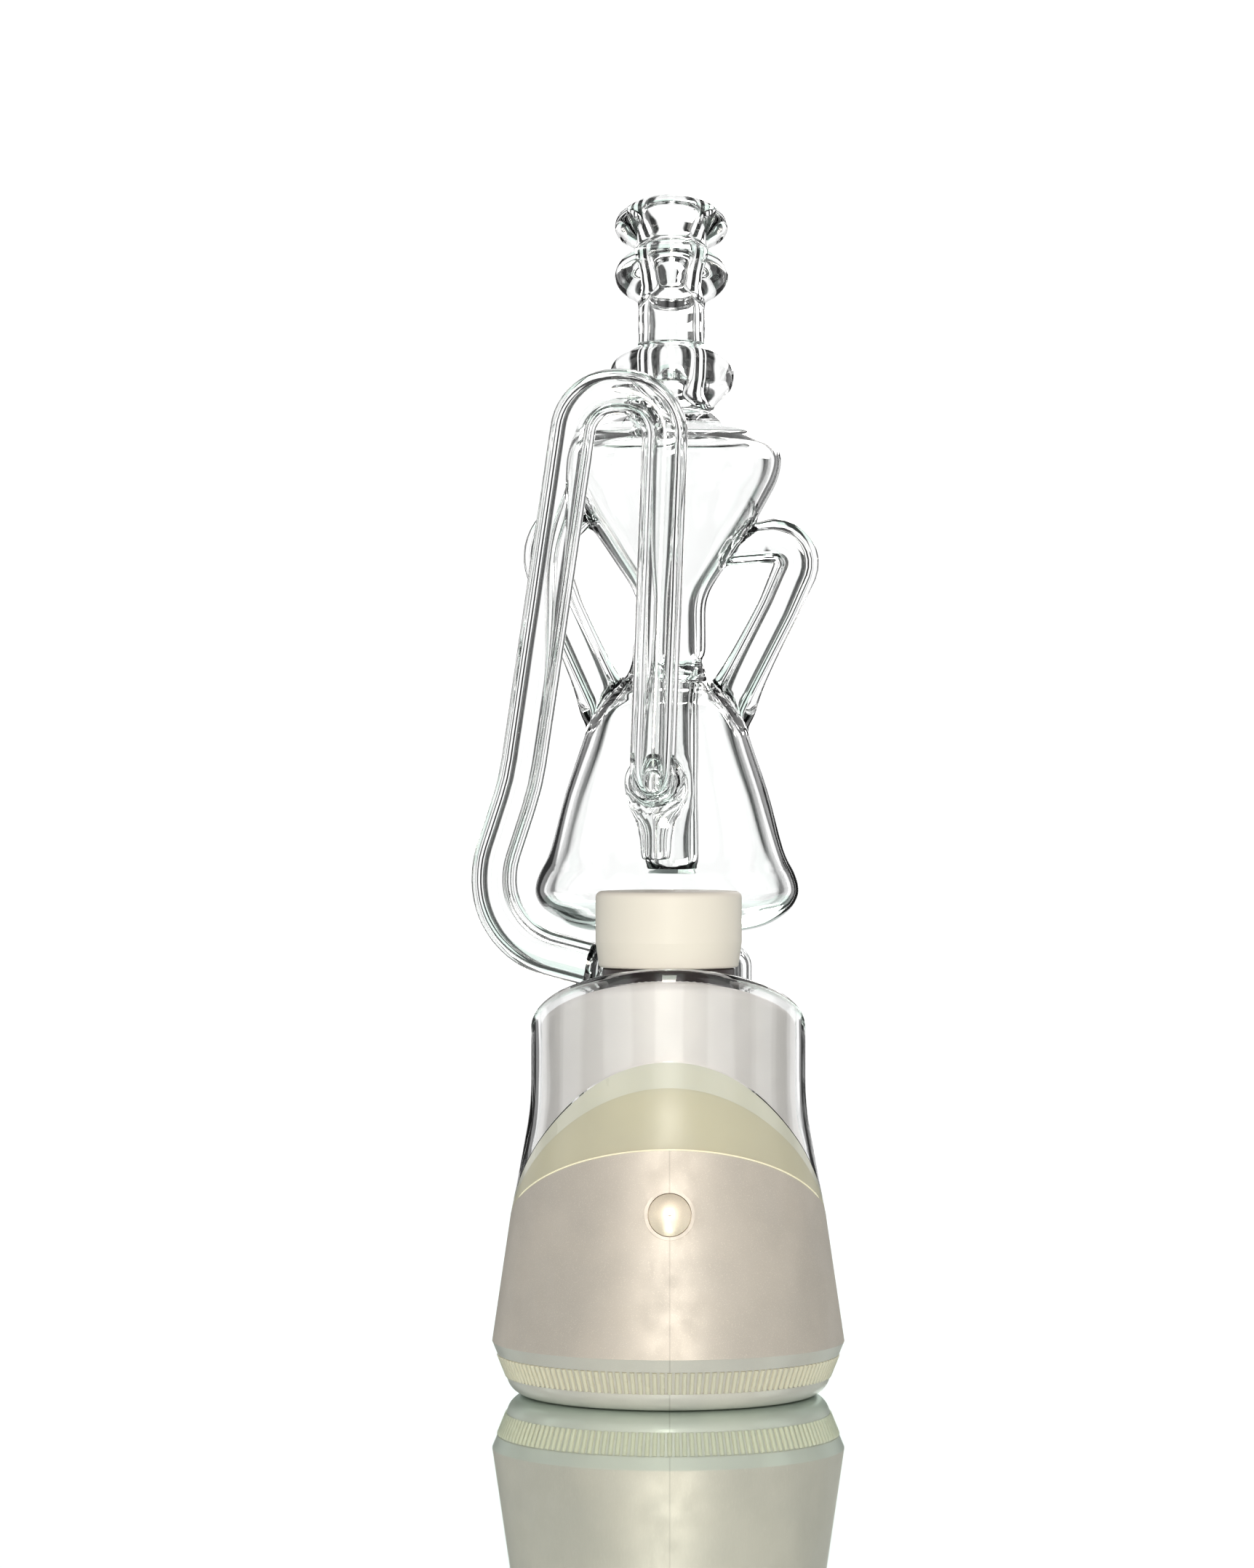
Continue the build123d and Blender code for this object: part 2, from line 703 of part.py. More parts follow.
# ---------------------------------------------------------------- glass: intake loop
def intake_points():
    """Corners of the intake tube from the hump round the left side, over the arch and into the can."""
    wall_y = can_wall_y(intake_entry_z)
    drop_y = wall_y - 8.6
    top = funnel_top_z + 2.2
    low = intake_low_z
    return [
        Vector(-hump_half_width + 5.0, hump_y, low - 2.2),
        Vector(-35.0, hump_y, low + 3.9),
        Vector(-35.0, hump_y - 1.0, low + 19.1),
        Vector(-29.5, hump_y - 4.0, low + 35.8),
        Vector(-17.9, drop_y - 0.8, top),
        Vector(-0.3, drop_y, top),
        Vector(-3.2, drop_y, intake_entry_z),
        Vector(-2.3, wall_y + vessel_wall + 1.0, intake_entry_z),
    ]


intake_radii = [15.5, 18.0, 45.0, 8.5, 8.5, 6.0]
brace_diameter = 6.0


def intake_splits():
    """Points where the loop's four tubes are fused to each other."""
    corners = intake_points()
    riser_low = between(corners[3], corners[4], corners[3].Z + 9)
    riser_high = between(corners[3], corners[4], corners[4].Z - 13)
    drop_high = between(corners[5], corners[6], corners[5].Z - 13)
    return riser_low, riser_high, drop_high


def intake_tube(points, radii):
    """One stretch of the intake loop."""
    return run_tube(points, radii, intake_diameter, intake_bore)


def make_intake_elbow():
    """Lower bend from the hump to the riser."""
    riser_low, _, _ = intake_splits()
    tube = intake_tube([*intake_points()[:4], riser_low], intake_radii[:3])
    return tube - hump_form(0, tower_bottom_z)


def make_intake_riser():
    """Long straight tube up the left side."""
    riser_low, riser_high, _ = intake_splits()
    return intake_tube([riser_low, riser_high], None)


def make_intake_arch():
    """Arch over the top."""
    _, riser_high, drop_high = intake_splits()
    return intake_tube([riser_high, *intake_points()[4:6], drop_high], intake_radii[3:5])


def make_intake_drop():
    """Straight drop in front of the funnel, turned back into the can."""
    _, _, drop_high = intake_splits()
    tube = intake_tube([drop_high, *intake_points()[6:]], intake_radii[5])
    return tube - at_can(smooth_form(can_outline()))


def make_loop_brace():
    """Short solid rod that ties the arch to the rim of the funnel's lid."""
    crown = intake_points()[5]
    start = Vector(crown.X - 5.6, crown.Y, crown.Z - 3.0)
    end = Vector(neck_x - 4.2, can_y - funnel_diameter / 2 * 0.7, funnel_top_z - 4.6)
    brace = extrude(Plane(origin=start, z_dir=end - start) * Circle(brace_diameter / 2), amount=(end - start).length)
    arch = run_tube([intake_splits()[1], *intake_points()[4:6], intake_splits()[2]], intake_radii[3:5],
                    intake_diameter, 0)
    return brace - arch - at_neck(smooth_form(funnel_outline()))


def make_weld_collar():
    """Bead of glass round the joint between the drop and the can."""
    entry = intake_points()[-1]
    front = can_wall_y(intake_entry_z) - weld_depth
    bead = Plane(origin=(entry.X, front, entry.Z), x_dir=(1, 0, 0), z_dir=(0, 1, 0)) * Ellipse(
        weld_half_width, weld_half_height)
    bead = extrude(bead, amount=weld_depth * 3)
    bead = fillet(bead.edges().sort_by(Axis.Y)[:1], weld_depth * 0.6)
    drop = run_tube(intake_points()[-3:], intake_radii[5], intake_diameter + 0.02)
    return bead - drop - at_can(smooth_form(can_outline()))


def make_nozzle():
    """Tapered jet inside the can, fed through the front wall."""
    entry = intake_points()[-1]
    axis_y = can_wall_y(intake_entry_z) + nozzle_setback
    head = nozzle_head_diameter / 2
    tip = nozzle_tip_diameter / 2
    low = intake_entry_z - nozzle_length
    outline = [(tip, low), (tip + 0.3, low + 4), (head - 0.8, low + 9), (head, low + 13), (head - 1.2, low + 17)]
    jet = Pos(entry.X, axis_y, 0) * smooth_form(outline)
    feed_start = (entry.X, can_wall_y(intake_entry_z) - 1, intake_entry_z)
    feed_end = (entry.X, axis_y, intake_entry_z)
    feed = run_tube([feed_start, feed_end], None, intake_diameter - 1.2)
    feed_hole = run_tube([feed_start, feed_end], None, nozzle_bore)
    jet_hole = Pos(entry.X, axis_y, 0) * rod(nozzle_bore / 2, low - 1, intake_entry_z)
    cavity = at_can(smooth_form(offset_outline(can_outline(), vessel_wall)))
    return ((jet + feed) & cavity) - feed_hole - jet_hole


# ---------------------------------------------------------------- glass: funnel and arms
def funnel_outline():
    """Outer outline of the funnel: narrow foot, wide cone, rounded rim and domed lid."""
    wide = funnel_diameter / 2
    low = funnel_bottom_z
    return [
        (neck_diameter / 2, low),
        (neck_diameter / 2 + 1.0, low + 2.6),
        (wide * 0.49, low + 6.6),
        (wide * 0.75, low + 15.3),
        (wide - 1.4, low + 22.7),
        (wide, low + 27.4),
        (wide - 1.6, low + 31.8),
        (wide * 0.62, low + 36.0),
        (funnel_mouth_radius, funnel_top_z),
    ]


def arm_points(side):
    """Corners of a return arm. The right arm enters the cone low, the left one high."""
    foot_z = can_top_z - 8.5
    start = Vector(side * 12.0 + 0.1, can_y, foot_z)
    if side > 0:
        low = Vector(22.9, can_y, foot_z + 20.5)
        high = Vector(29.3, can_y, funnel_bottom_z + 12.6)
        end = Vector(neck_x + 8.0, can_y, funnel_bottom_z + 11.0)
    else:
        low = Vector(-21.4, can_y, foot_z + 20.5)
        high = Vector(-26.2, can_y, funnel_bottom_z + 11.0)
        end = Vector(neck_x - 13.5, can_y, funnel_bottom_z + 24.5)
    return [start, low, high, end]


arm_radii = {1: [25.0, 4.6], -1: [25.0, 9.0]}


def make_arm(side):
    """Return arm from the can's shoulder to the funnel."""
    tube = run_tube(arm_points(side), arm_radii[side], arm_diameter, arm_bore)
    return tube - at_can(smooth_form(can_outline())) - at_neck(smooth_form(funnel_outline()))


def make_funnel():
    """Blown funnel with a domed lid and a port for each arm."""
    ports = [run_tube(arm_points(side)[-2:], None, arm_bore) for side in (-1, 1)]
    return at_neck(smooth_wall(funnel_outline(), vessel_wall - 0.2)) - ports


# ---------------------------------------------------------------- glass: mouthpiece
def leaning(origin, lean):
    """Plane square to the mouthpiece's axis."""
    return Plane(origin=origin, x_dir=(1, 0, 0), z_dir=(0, sin(radians(lean)), cos(radians(lean))))


low_plane = leaning((neck_x, can_y, funnel_top_z), mouth_lean_low)
stem_start = low_plane.origin + low_plane.z_dir * (cone_length + ring_low_thickness)
stem_corner = stem_start + low_plane.z_dir * stem_run
stem_end = stem_corner + leaning(stem_corner, mouth_lean_high).z_dir * stem_run
high_plane = leaning(stem_end, mouth_lean_high)


def bead_ring(diameter, thickness, bore, base_z):
    """Solid pressed ring with a round edge."""
    outer = diameter / 2
    half = thickness / 2
    stem = stem_diameter / 2
    outline = [
        Line((bore / 2, base_z), (stem, base_z)),
        Spline((stem, base_z), (outer - half * 0.5, base_z + half * 0.35), (outer, base_z + half),
               (outer - half * 0.5, base_z + half * 1.65), (stem, base_z + thickness),
               tangents=[(1, 0.1), (-1, 0.1)]),
        Polyline((stem, base_z + thickness), (bore / 2, base_z + thickness), (bore / 2, base_z)),
    ]
    edges = [edge for part in outline for edge in part.edges()]
    return revolve(Plane.XZ * make_face(edges), Axis.Z)


def make_neck_cone():
    """Short flared collar that closes the funnel's lid and carries the low ring."""
    outline = [(funnel_mouth_radius, 0.0), (stem_diameter / 2 + 1.2, cone_length * 0.5), (stem_diameter / 2 + 1.8, cone_length)]
    cone = low_plane * smooth_wall(outline, vessel_wall)
    return cone - at_neck(smooth_form(funnel_outline()))


def make_stem():
    """Bent tube between the low and the middle ring."""
    return run_tube([stem_start, stem_corner, stem_end], stem_bend_radius, stem_diameter, stem_bore)


def make_mouth_tube():
    """Short waisted tube under the lip."""
    stem = stem_diameter / 2
    outline = [(stem, 0.0), (stem - 0.4, mouth_tube_length / 2), (stem, mouth_tube_length)]
    return high_plane * Pos(0, 0, ring_mid_thickness) * smooth_wall(outline, vessel_wall)


def make_mouth_lip():
    """Flared lip with a rounded edge and a dished top."""
    stem = stem_diameter / 2
    wide = lip_diameter / 2
    high = lip_length
    bore = stem - vessel_wall
    outline = [
        Line((bore, 0), (stem, 0)),
        Spline((stem, 0), (wide - 2.6, high * 0.26), (wide, high * 0.5), (wide - 1.4, high * 0.72), (wide - 4.2, high)),
        Spline((wide - 4.2, high), (bore + 0.9, high * 0.72), (bore, 0)),
    ]
    edges = [edge for part in outline for edge in part.edges()]
    lip = revolve(Plane.XZ * make_face(edges), Axis.Z)
    return high_plane * Pos(0, 0, ring_mid_thickness + mouth_tube_length) * lip


# ---------------------------------------------------------------- write the nodes
os.makedirs("parts", exist_ok=True)

nodes = {
    "base_pad": lambda: ring(pad_outer_radius, pad_inner_radius, 0, plate_recess + 0.6),
    "base_plate": make_base_plate,
    "base_screws": make_base_screws,
    "foot_ring": make_foot_ring,
    "lower_shell": make_lower_shell,
    "light_window": make_light_window,
    "window_arch": make_window_arch,
    "upper_shell": make_upper_shell,
    "button_bezel": make_button_bezel,
    "button": make_button,
    "button_switch": make_switch,
    "chassis": make_chassis,
    "battery_left": lambda: make_cell(-1),
    "battery_right": lambda: make_cell(1),
    "main_board": make_main_board,
    "led_board": make_led_board,
    "usb_port": make_usb_port,
    "haptic_motor": make_motor,
    "contact_block": make_contact_block,
    "contact_pins": make_contact_pins,
    "chamber_base": make_chamber_base,
    "chamber_insulator": make_insulator,
    "heater_disc": make_heater,
    "bowl": make_bowl,
    "chamber_collar": make_collar,
    "chamber_oring": make_chamber_oring,
    "carb_cap": make_cap,
    "cap_seal": make_cap_seal,
    "glass_bell": make_glass_bell,
    "bell_hump": make_bell_hump,
    "can_post": make_can_post,
    "can": make_can,
    "intake_elbow": make_intake_elbow,
    "intake_riser": make_intake_riser,
    "intake_arch": make_intake_arch,
    "intake_drop": make_intake_drop,
    "loop_brace": make_loop_brace,
    "weld_collar": make_weld_collar,
    "nozzle": make_nozzle,
    "drain_tube": make_drain_tube,
    "drain_neck": make_drain_neck,
    "arm_left": lambda: make_arm(-1),
    "arm_right": lambda: make_arm(1),
    "funnel": make_funnel,
    "neck_cone": make_neck_cone,
    "ring_low": lambda: low_plane * bead_ring(ring_low_diameter, ring_low_thickness, stem_bore, cone_length),
    "neck_stem": make_stem,
    "ring_mid": lambda: high_plane * bead_ring(ring_mid_diameter, ring_mid_thickness, stem_bore, 0),
    "mouth_tube": make_mouth_tube,
    "mouth_lip": make_mouth_lip,
}

for node, make in nodes.items():
    write(node, make())
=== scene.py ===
"""Looks for a battery vaporiser with a lampworked glass recycler top.

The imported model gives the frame, the shells and everything inside the base. This file adds the
blown glass as one fused body, the fluted band, the mould seam and the finishes, and sets the
pale table, the lights and the camera. Sizes in the classes are millimetres; meshes are metres.
"""
from __future__ import annotations

import json
import logging
import math
from dataclasses import dataclass
from enum import Enum
from typing import Callable, Sequence

import bmesh
import bpy
from mathutils import Matrix, Vector
from mathutils.kdtree import KDTree

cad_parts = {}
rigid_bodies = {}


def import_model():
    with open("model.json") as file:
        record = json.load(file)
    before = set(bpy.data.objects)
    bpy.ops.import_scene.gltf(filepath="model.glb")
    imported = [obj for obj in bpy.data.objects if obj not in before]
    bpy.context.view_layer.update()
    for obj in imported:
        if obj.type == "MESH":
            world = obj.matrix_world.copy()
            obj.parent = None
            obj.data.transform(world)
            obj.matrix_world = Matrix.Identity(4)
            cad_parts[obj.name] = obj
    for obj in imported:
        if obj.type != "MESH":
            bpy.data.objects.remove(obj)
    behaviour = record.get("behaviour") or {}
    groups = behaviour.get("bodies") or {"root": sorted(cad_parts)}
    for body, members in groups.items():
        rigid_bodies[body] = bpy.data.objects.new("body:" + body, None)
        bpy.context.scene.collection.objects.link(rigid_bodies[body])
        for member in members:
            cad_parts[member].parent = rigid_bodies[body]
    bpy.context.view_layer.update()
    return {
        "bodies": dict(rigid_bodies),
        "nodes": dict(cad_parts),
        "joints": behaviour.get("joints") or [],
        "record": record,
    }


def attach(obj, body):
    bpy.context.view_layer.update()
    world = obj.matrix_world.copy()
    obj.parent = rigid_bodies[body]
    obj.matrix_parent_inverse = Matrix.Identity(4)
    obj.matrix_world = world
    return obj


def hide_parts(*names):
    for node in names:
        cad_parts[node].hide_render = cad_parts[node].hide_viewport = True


MM = 0.001
LOG = logging.getLogger("scene")
Outline = Sequence[tuple[float, float]]
CLOUD_LOW, CLOUD_HIGH = 0.3, 0.7
AXIS_RADIUS = 1e-4


# ---------------------------------------------------------------- shader maths
class Value:
    """A number or socket in a shader whose arithmetic adds Math nodes."""

    def __init__(self, graph: "Graph", source: bpy.types.NodeSocket | float) -> None:
        """Wrap a socket or a constant.

        Args:
            graph: The graph that new nodes are added to.
            source: The socket, or the constant, that this value stands for.
        """
        self.graph = graph
        self.source = source

    def _math(self, operation: str, *others: "Value | float") -> "Value":
        """Add one Math node.

        Args:
            operation: The Math node's operation.
            others: The second and third operands, if it has them.

        Returns:
            The node's result.
        """
        sockets = {index + 1: other for index, other in enumerate(others)}
        return self.graph.add("ShaderNodeMath", {"operation": operation}, {0: self, **sockets})

    def __add__(self, other: "Value | float") -> "Value":
        """Sum."""
        return self._math("ADD", other)

    def __radd__(self, other: float) -> "Value":
        """Reflected sum."""
        return self._math("ADD", other)

    def __sub__(self, other: "Value | float") -> "Value":
        """Difference."""
        return self._math("SUBTRACT", other)

    def __rsub__(self, other: float) -> "Value":
        """Reflected difference."""
        return Value(self.graph, other)._math("SUBTRACT", self)

    def __mul__(self, other: "Value | float") -> "Value":
        """Product."""
        return self._math("MULTIPLY", other)

    def __rmul__(self, other: float) -> "Value":
        """Reflected product."""
        return self._math("MULTIPLY", other)

    def __truediv__(self, other: "Value | float") -> "Value":
        """Quotient."""
        return self._math("DIVIDE", other)

    def power(self, exponent: float) -> "Value":
        """Raise to a power.

        Args:
            exponent: The exponent.

        Returns:
            The power.
        """
        return self._math("POWER", exponent)

    def highest(self, other: "Value | float") -> "Value":
        """The larger of the two.

        Args:
            other: What it is compared with.

        Returns:
            The larger value.
        """
        return self._math("MAXIMUM", other)

    def between(self, low: float, high: float, start: float = 0.0, end: float = 1.0) -> "Value":
        """Smooth step.

        Args:
            low: Where the step starts.
            high: Where the step ends.
            start: The value under low.
            end: The value over high.

        Returns:
            The stepped value.
        """
        names = {"Value": self, "From Min": low, "From Max": high, "To Min": start, "To Max": end}
        return self.graph.add("ShaderNodeMapRange", {"interpolation_type": "SMOOTHSTEP"}, names)


class Graph:
    """The node graph of a material or a world."""

    def __init__(self, tree: bpy.types.NodeTree) -> None:
        """Start from an empty tree.

        Args:
            tree: The tree, whose nodes are removed.
        """
        self.tree = tree
        tree.nodes.clear()

    def add(
        self,
        kind: str,
        settings: dict[str, object] | None = None,
        inputs: dict[str | int, object] | None = None,
        output: str | int = 0,
    ) -> Value:
        """Add any node.

        Args:
            kind: The node's type.
            settings: Attributes that are set first. A ramp's stops go under "stops".
            inputs: Values or links by socket name or number.
            output: The output to hand back.

        Returns:
            The chosen output, or the node's first one.
        """
        node = self.tree.nodes.new(kind)
        for name, setting in (settings or {}).items():
            if name == "stops":
                self._stops(node.color_ramp, setting)
            else:
                setattr(node, name, setting)
        for name, given in (inputs or {}).items():
            given = given.source if isinstance(given, Value) else given
            if isinstance(given, bpy.types.NodeSocket):
                self.tree.links.new(given, node.inputs[name])
            else:
                node.inputs[name].default_value = given
        return Value(self, node.outputs[output] if len(node.outputs) else node.inputs[0])

    @staticmethod
    def _stops(ramp: bpy.types.ColorRamp, stops: Sequence[tuple[float, Sequence[float]]]) -> None:
        """Set a colour ramp's stops from (position, colour) pairs.

        Args:
            ramp: The ramp.
            stops: The pairs, from left to right.
        """
        while len(ramp.elements) > 1:
            ramp.elements.remove(ramp.elements[-1])
        ramp.elements[0].position = stops[0][0]
        ramp.elements[0].color = (*stops[0][1], 1.0)
        for position, colour in stops[1:]:
            ramp.elements.new(position).color = (*colour, 1.0)

    def place(self) -> Value:
        """Object coordinates, which are the model's own coordinates on every piece.

        Returns:
            The coordinates.
        """
        return self.add("ShaderNodeTexCoord", output="Object")

    def noise(self, scale: float, detail: float = 3.0, stretch: Sequence[float] = (1, 1, 1)) -> Value:
        """Fractal noise on object coordinates.

        Args:
            scale: Features per metre.
            detail: Octaves.
            stretch: Scale of each axis before the noise.

        Returns:
            Noise from 0 to 1, about 0.5.
        """
        moved = self.add("ShaderNodeMapping", {}, {"Vector": self.place(), "Scale": tuple(stretch)})
        return self.add("ShaderNodeTexNoise", {}, {"Vector": moved, "Scale": scale, "Detail": detail})

    def mix(self, factor: Value | float, first: object, second: object) -> Value:
        """Blend two colours.

        Args:
            factor: Share of the second colour.
            first: The first colour.
            second: The second colour.

        Returns:
            The blend.
        """
        return self.add("ShaderNodeMix", {"data_type": "RGBA"}, {0: factor, 6: first, 7: second}, 2)


# ---------------------------------------------------------------- finishes
def rgb(red: float, green: float, blue: float) -> tuple[float, float, float, float]:
    """A colour with full alpha.

    Args:
        red: Red.
        green: Green.
        blue: Blue.

    Returns:
        The four numbers.
    """
    return (red, green, blue, 1.0)


@dataclass(frozen=True)
class Finish:
    """A surface: its shader's constants and the small irregularities of its colour and surface."""

    name: str
    colour: tuple[float, float, float]
    shade: tuple[float, float, float] | None = None
    mottle_scale: float = 90.0
    roughness: float = 0.4
    roughness_spread: float = 0.05
    metallic: float = 0.0
    ior: float = 1.5
    transmission: float = 0.0
    subsurface: float = 0.0
    coat: float = 0.0
    # Painted glow: emission makes a part that is no lamp give off light.
    emission: tuple[float, float, float] | None = None
    emission_strength: float = 0.0
    bump: float = 0.0
    bump_scale: float = 400.0
    bump_detail: float = 2.0
    bump_reach: float = 0.0002

    def material(self) -> bpy.types.Material:
        """Build the material.

        Returns:
            The finished material.
        """
        material = bpy.data.materials.new(self.name)
        material.use_nodes = True
        graph = Graph(material.node_tree)
        shader = graph.add("ShaderNodeBsdfPrincipled", {}, self.constants()).source.node
        self.dress(graph, shader)
        graph.add("ShaderNodeOutputMaterial", {}, {"Surface": shader.outputs[0]})
        return material

    def constants(self) -> dict[str, object]:
        """The shader's sockets that are the same all over.

        Returns:
            Values by socket name.
        """
        named: dict[str, object] = {
            "Base Color": rgb(*self.colour),
            "Roughness": self.roughness,
            "Metallic": self.metallic,
            "IOR": self.ior,
            "Transmission Weight": self.transmission,
            "Subsurface Weight": self.subsurface,
            "Subsurface Radius": (1.0, 0.8, 0.6),
            "Subsurface Scale": 0.003,
            "Coat Weight": self.coat,
            "Coat Roughness": 0.08,
        }
        if self.emission:
            named["Emission Color"] = rgb(*self.emission)
            named["Emission Strength"] = self.emission_strength
        return named

    def dress(self, graph: Graph, shader: bpy.types.Node) -> None:
        """Add the variation of colour, roughness and surface.

        Args:
            graph: The material's graph.
            shader: Its shader.
        """
        link = graph.tree.links.new
        if self.shade:
            mottle = graph.noise(self.mottle_scale).between(CLOUD_LOW, CLOUD_HIGH)
            link(graph.mix(mottle, rgb(*self.colour), rgb(*self.shade)).source, shader.inputs["Base Color"])
        if self.roughness_spread:
            spread = graph.noise(self.mottle_scale * 2).between(
                CLOUD_LOW, CLOUD_HIGH,
                self.roughness - self.roughness_spread, self.roughness + self.roughness_spread)
            link(spread.source, shader.inputs["Roughness"])
        if self.bump:
            height = graph.noise(self.bump_scale, self.bump_detail)
            normal = graph.add(
                "ShaderNodeBump", {}, {"Strength": self.bump, "Distance": self.bump_reach, "Height": height})
            link(normal.source, shader.inputs["Normal"])


@dataclass(frozen=True)
class PearlPlastic(Finish):
    """Translucent pearl plastic with fine flakes and a mould seam down the front."""

    flake: tuple[float, float, float] = (0.86, 0.80, 0.70)
    flake_scale: float = 5200.0
    flake_amount: float = 0.30
    seam_half_width: float = 0.00008
    seam_depth: float = 0.35
    seam_shade: tuple[float, float, float] = (0.30, 0.27, 0.24)

    def dress(self, graph: Graph, shader: bpy.types.Node) -> None:
        """Add the flakes, the cloudiness and the seam.

        Args:
            graph: The material's graph.
            shader: Its shader.
        """
        link = graph.tree.links.new
        cloud = graph.noise(self.mottle_scale).between(CLOUD_LOW, CLOUD_HIGH)
        base = graph.mix(cloud, rgb(*self.colour), rgb(*(self.shade or self.colour)))
        flakes = graph.noise(self.flake_scale, 1.0).between(0.56, 0.74) * self.flake_amount
        pearl = graph.mix(flakes, base, rgb(*self.flake))
        across = graph.add("ShaderNodeSeparateXYZ", {}, {"Vector": graph.place()}, "X")
        depth = graph.add("ShaderNodeSeparateXYZ", {}, {"Vector": graph.place()}, "Y")
        front = depth.between(-0.004, -0.002, 1.0, 0.0)
        offset = graph.add("ShaderNodeMath", {"operation": "ABSOLUTE"}, {0: across})
        seam = offset.between(self.seam_half_width, self.seam_half_width * 2.2, 1.0, 0.0) * front
        seamed = graph.mix(seam * self.seam_depth, pearl, rgb(*self.seam_shade))
        link(seamed.source, shader.inputs["Base Color"])
        rough = graph.noise(self.mottle_scale * 3).between(
            CLOUD_LOW, CLOUD_HIGH,
            self.roughness - self.roughness_spread, self.roughness + self.roughness_spread)
        link(rough.source, shader.inputs["Roughness"])
        height = graph.noise(self.bump_scale, 2.0) + seam * (self.seam_depth * 3)
        normal = graph.add(
            "ShaderNodeBump", {}, {"Strength": self.bump, "Distance": self.bump_reach, "Height": height})
        link(normal.source, shader.inputs["Normal"])


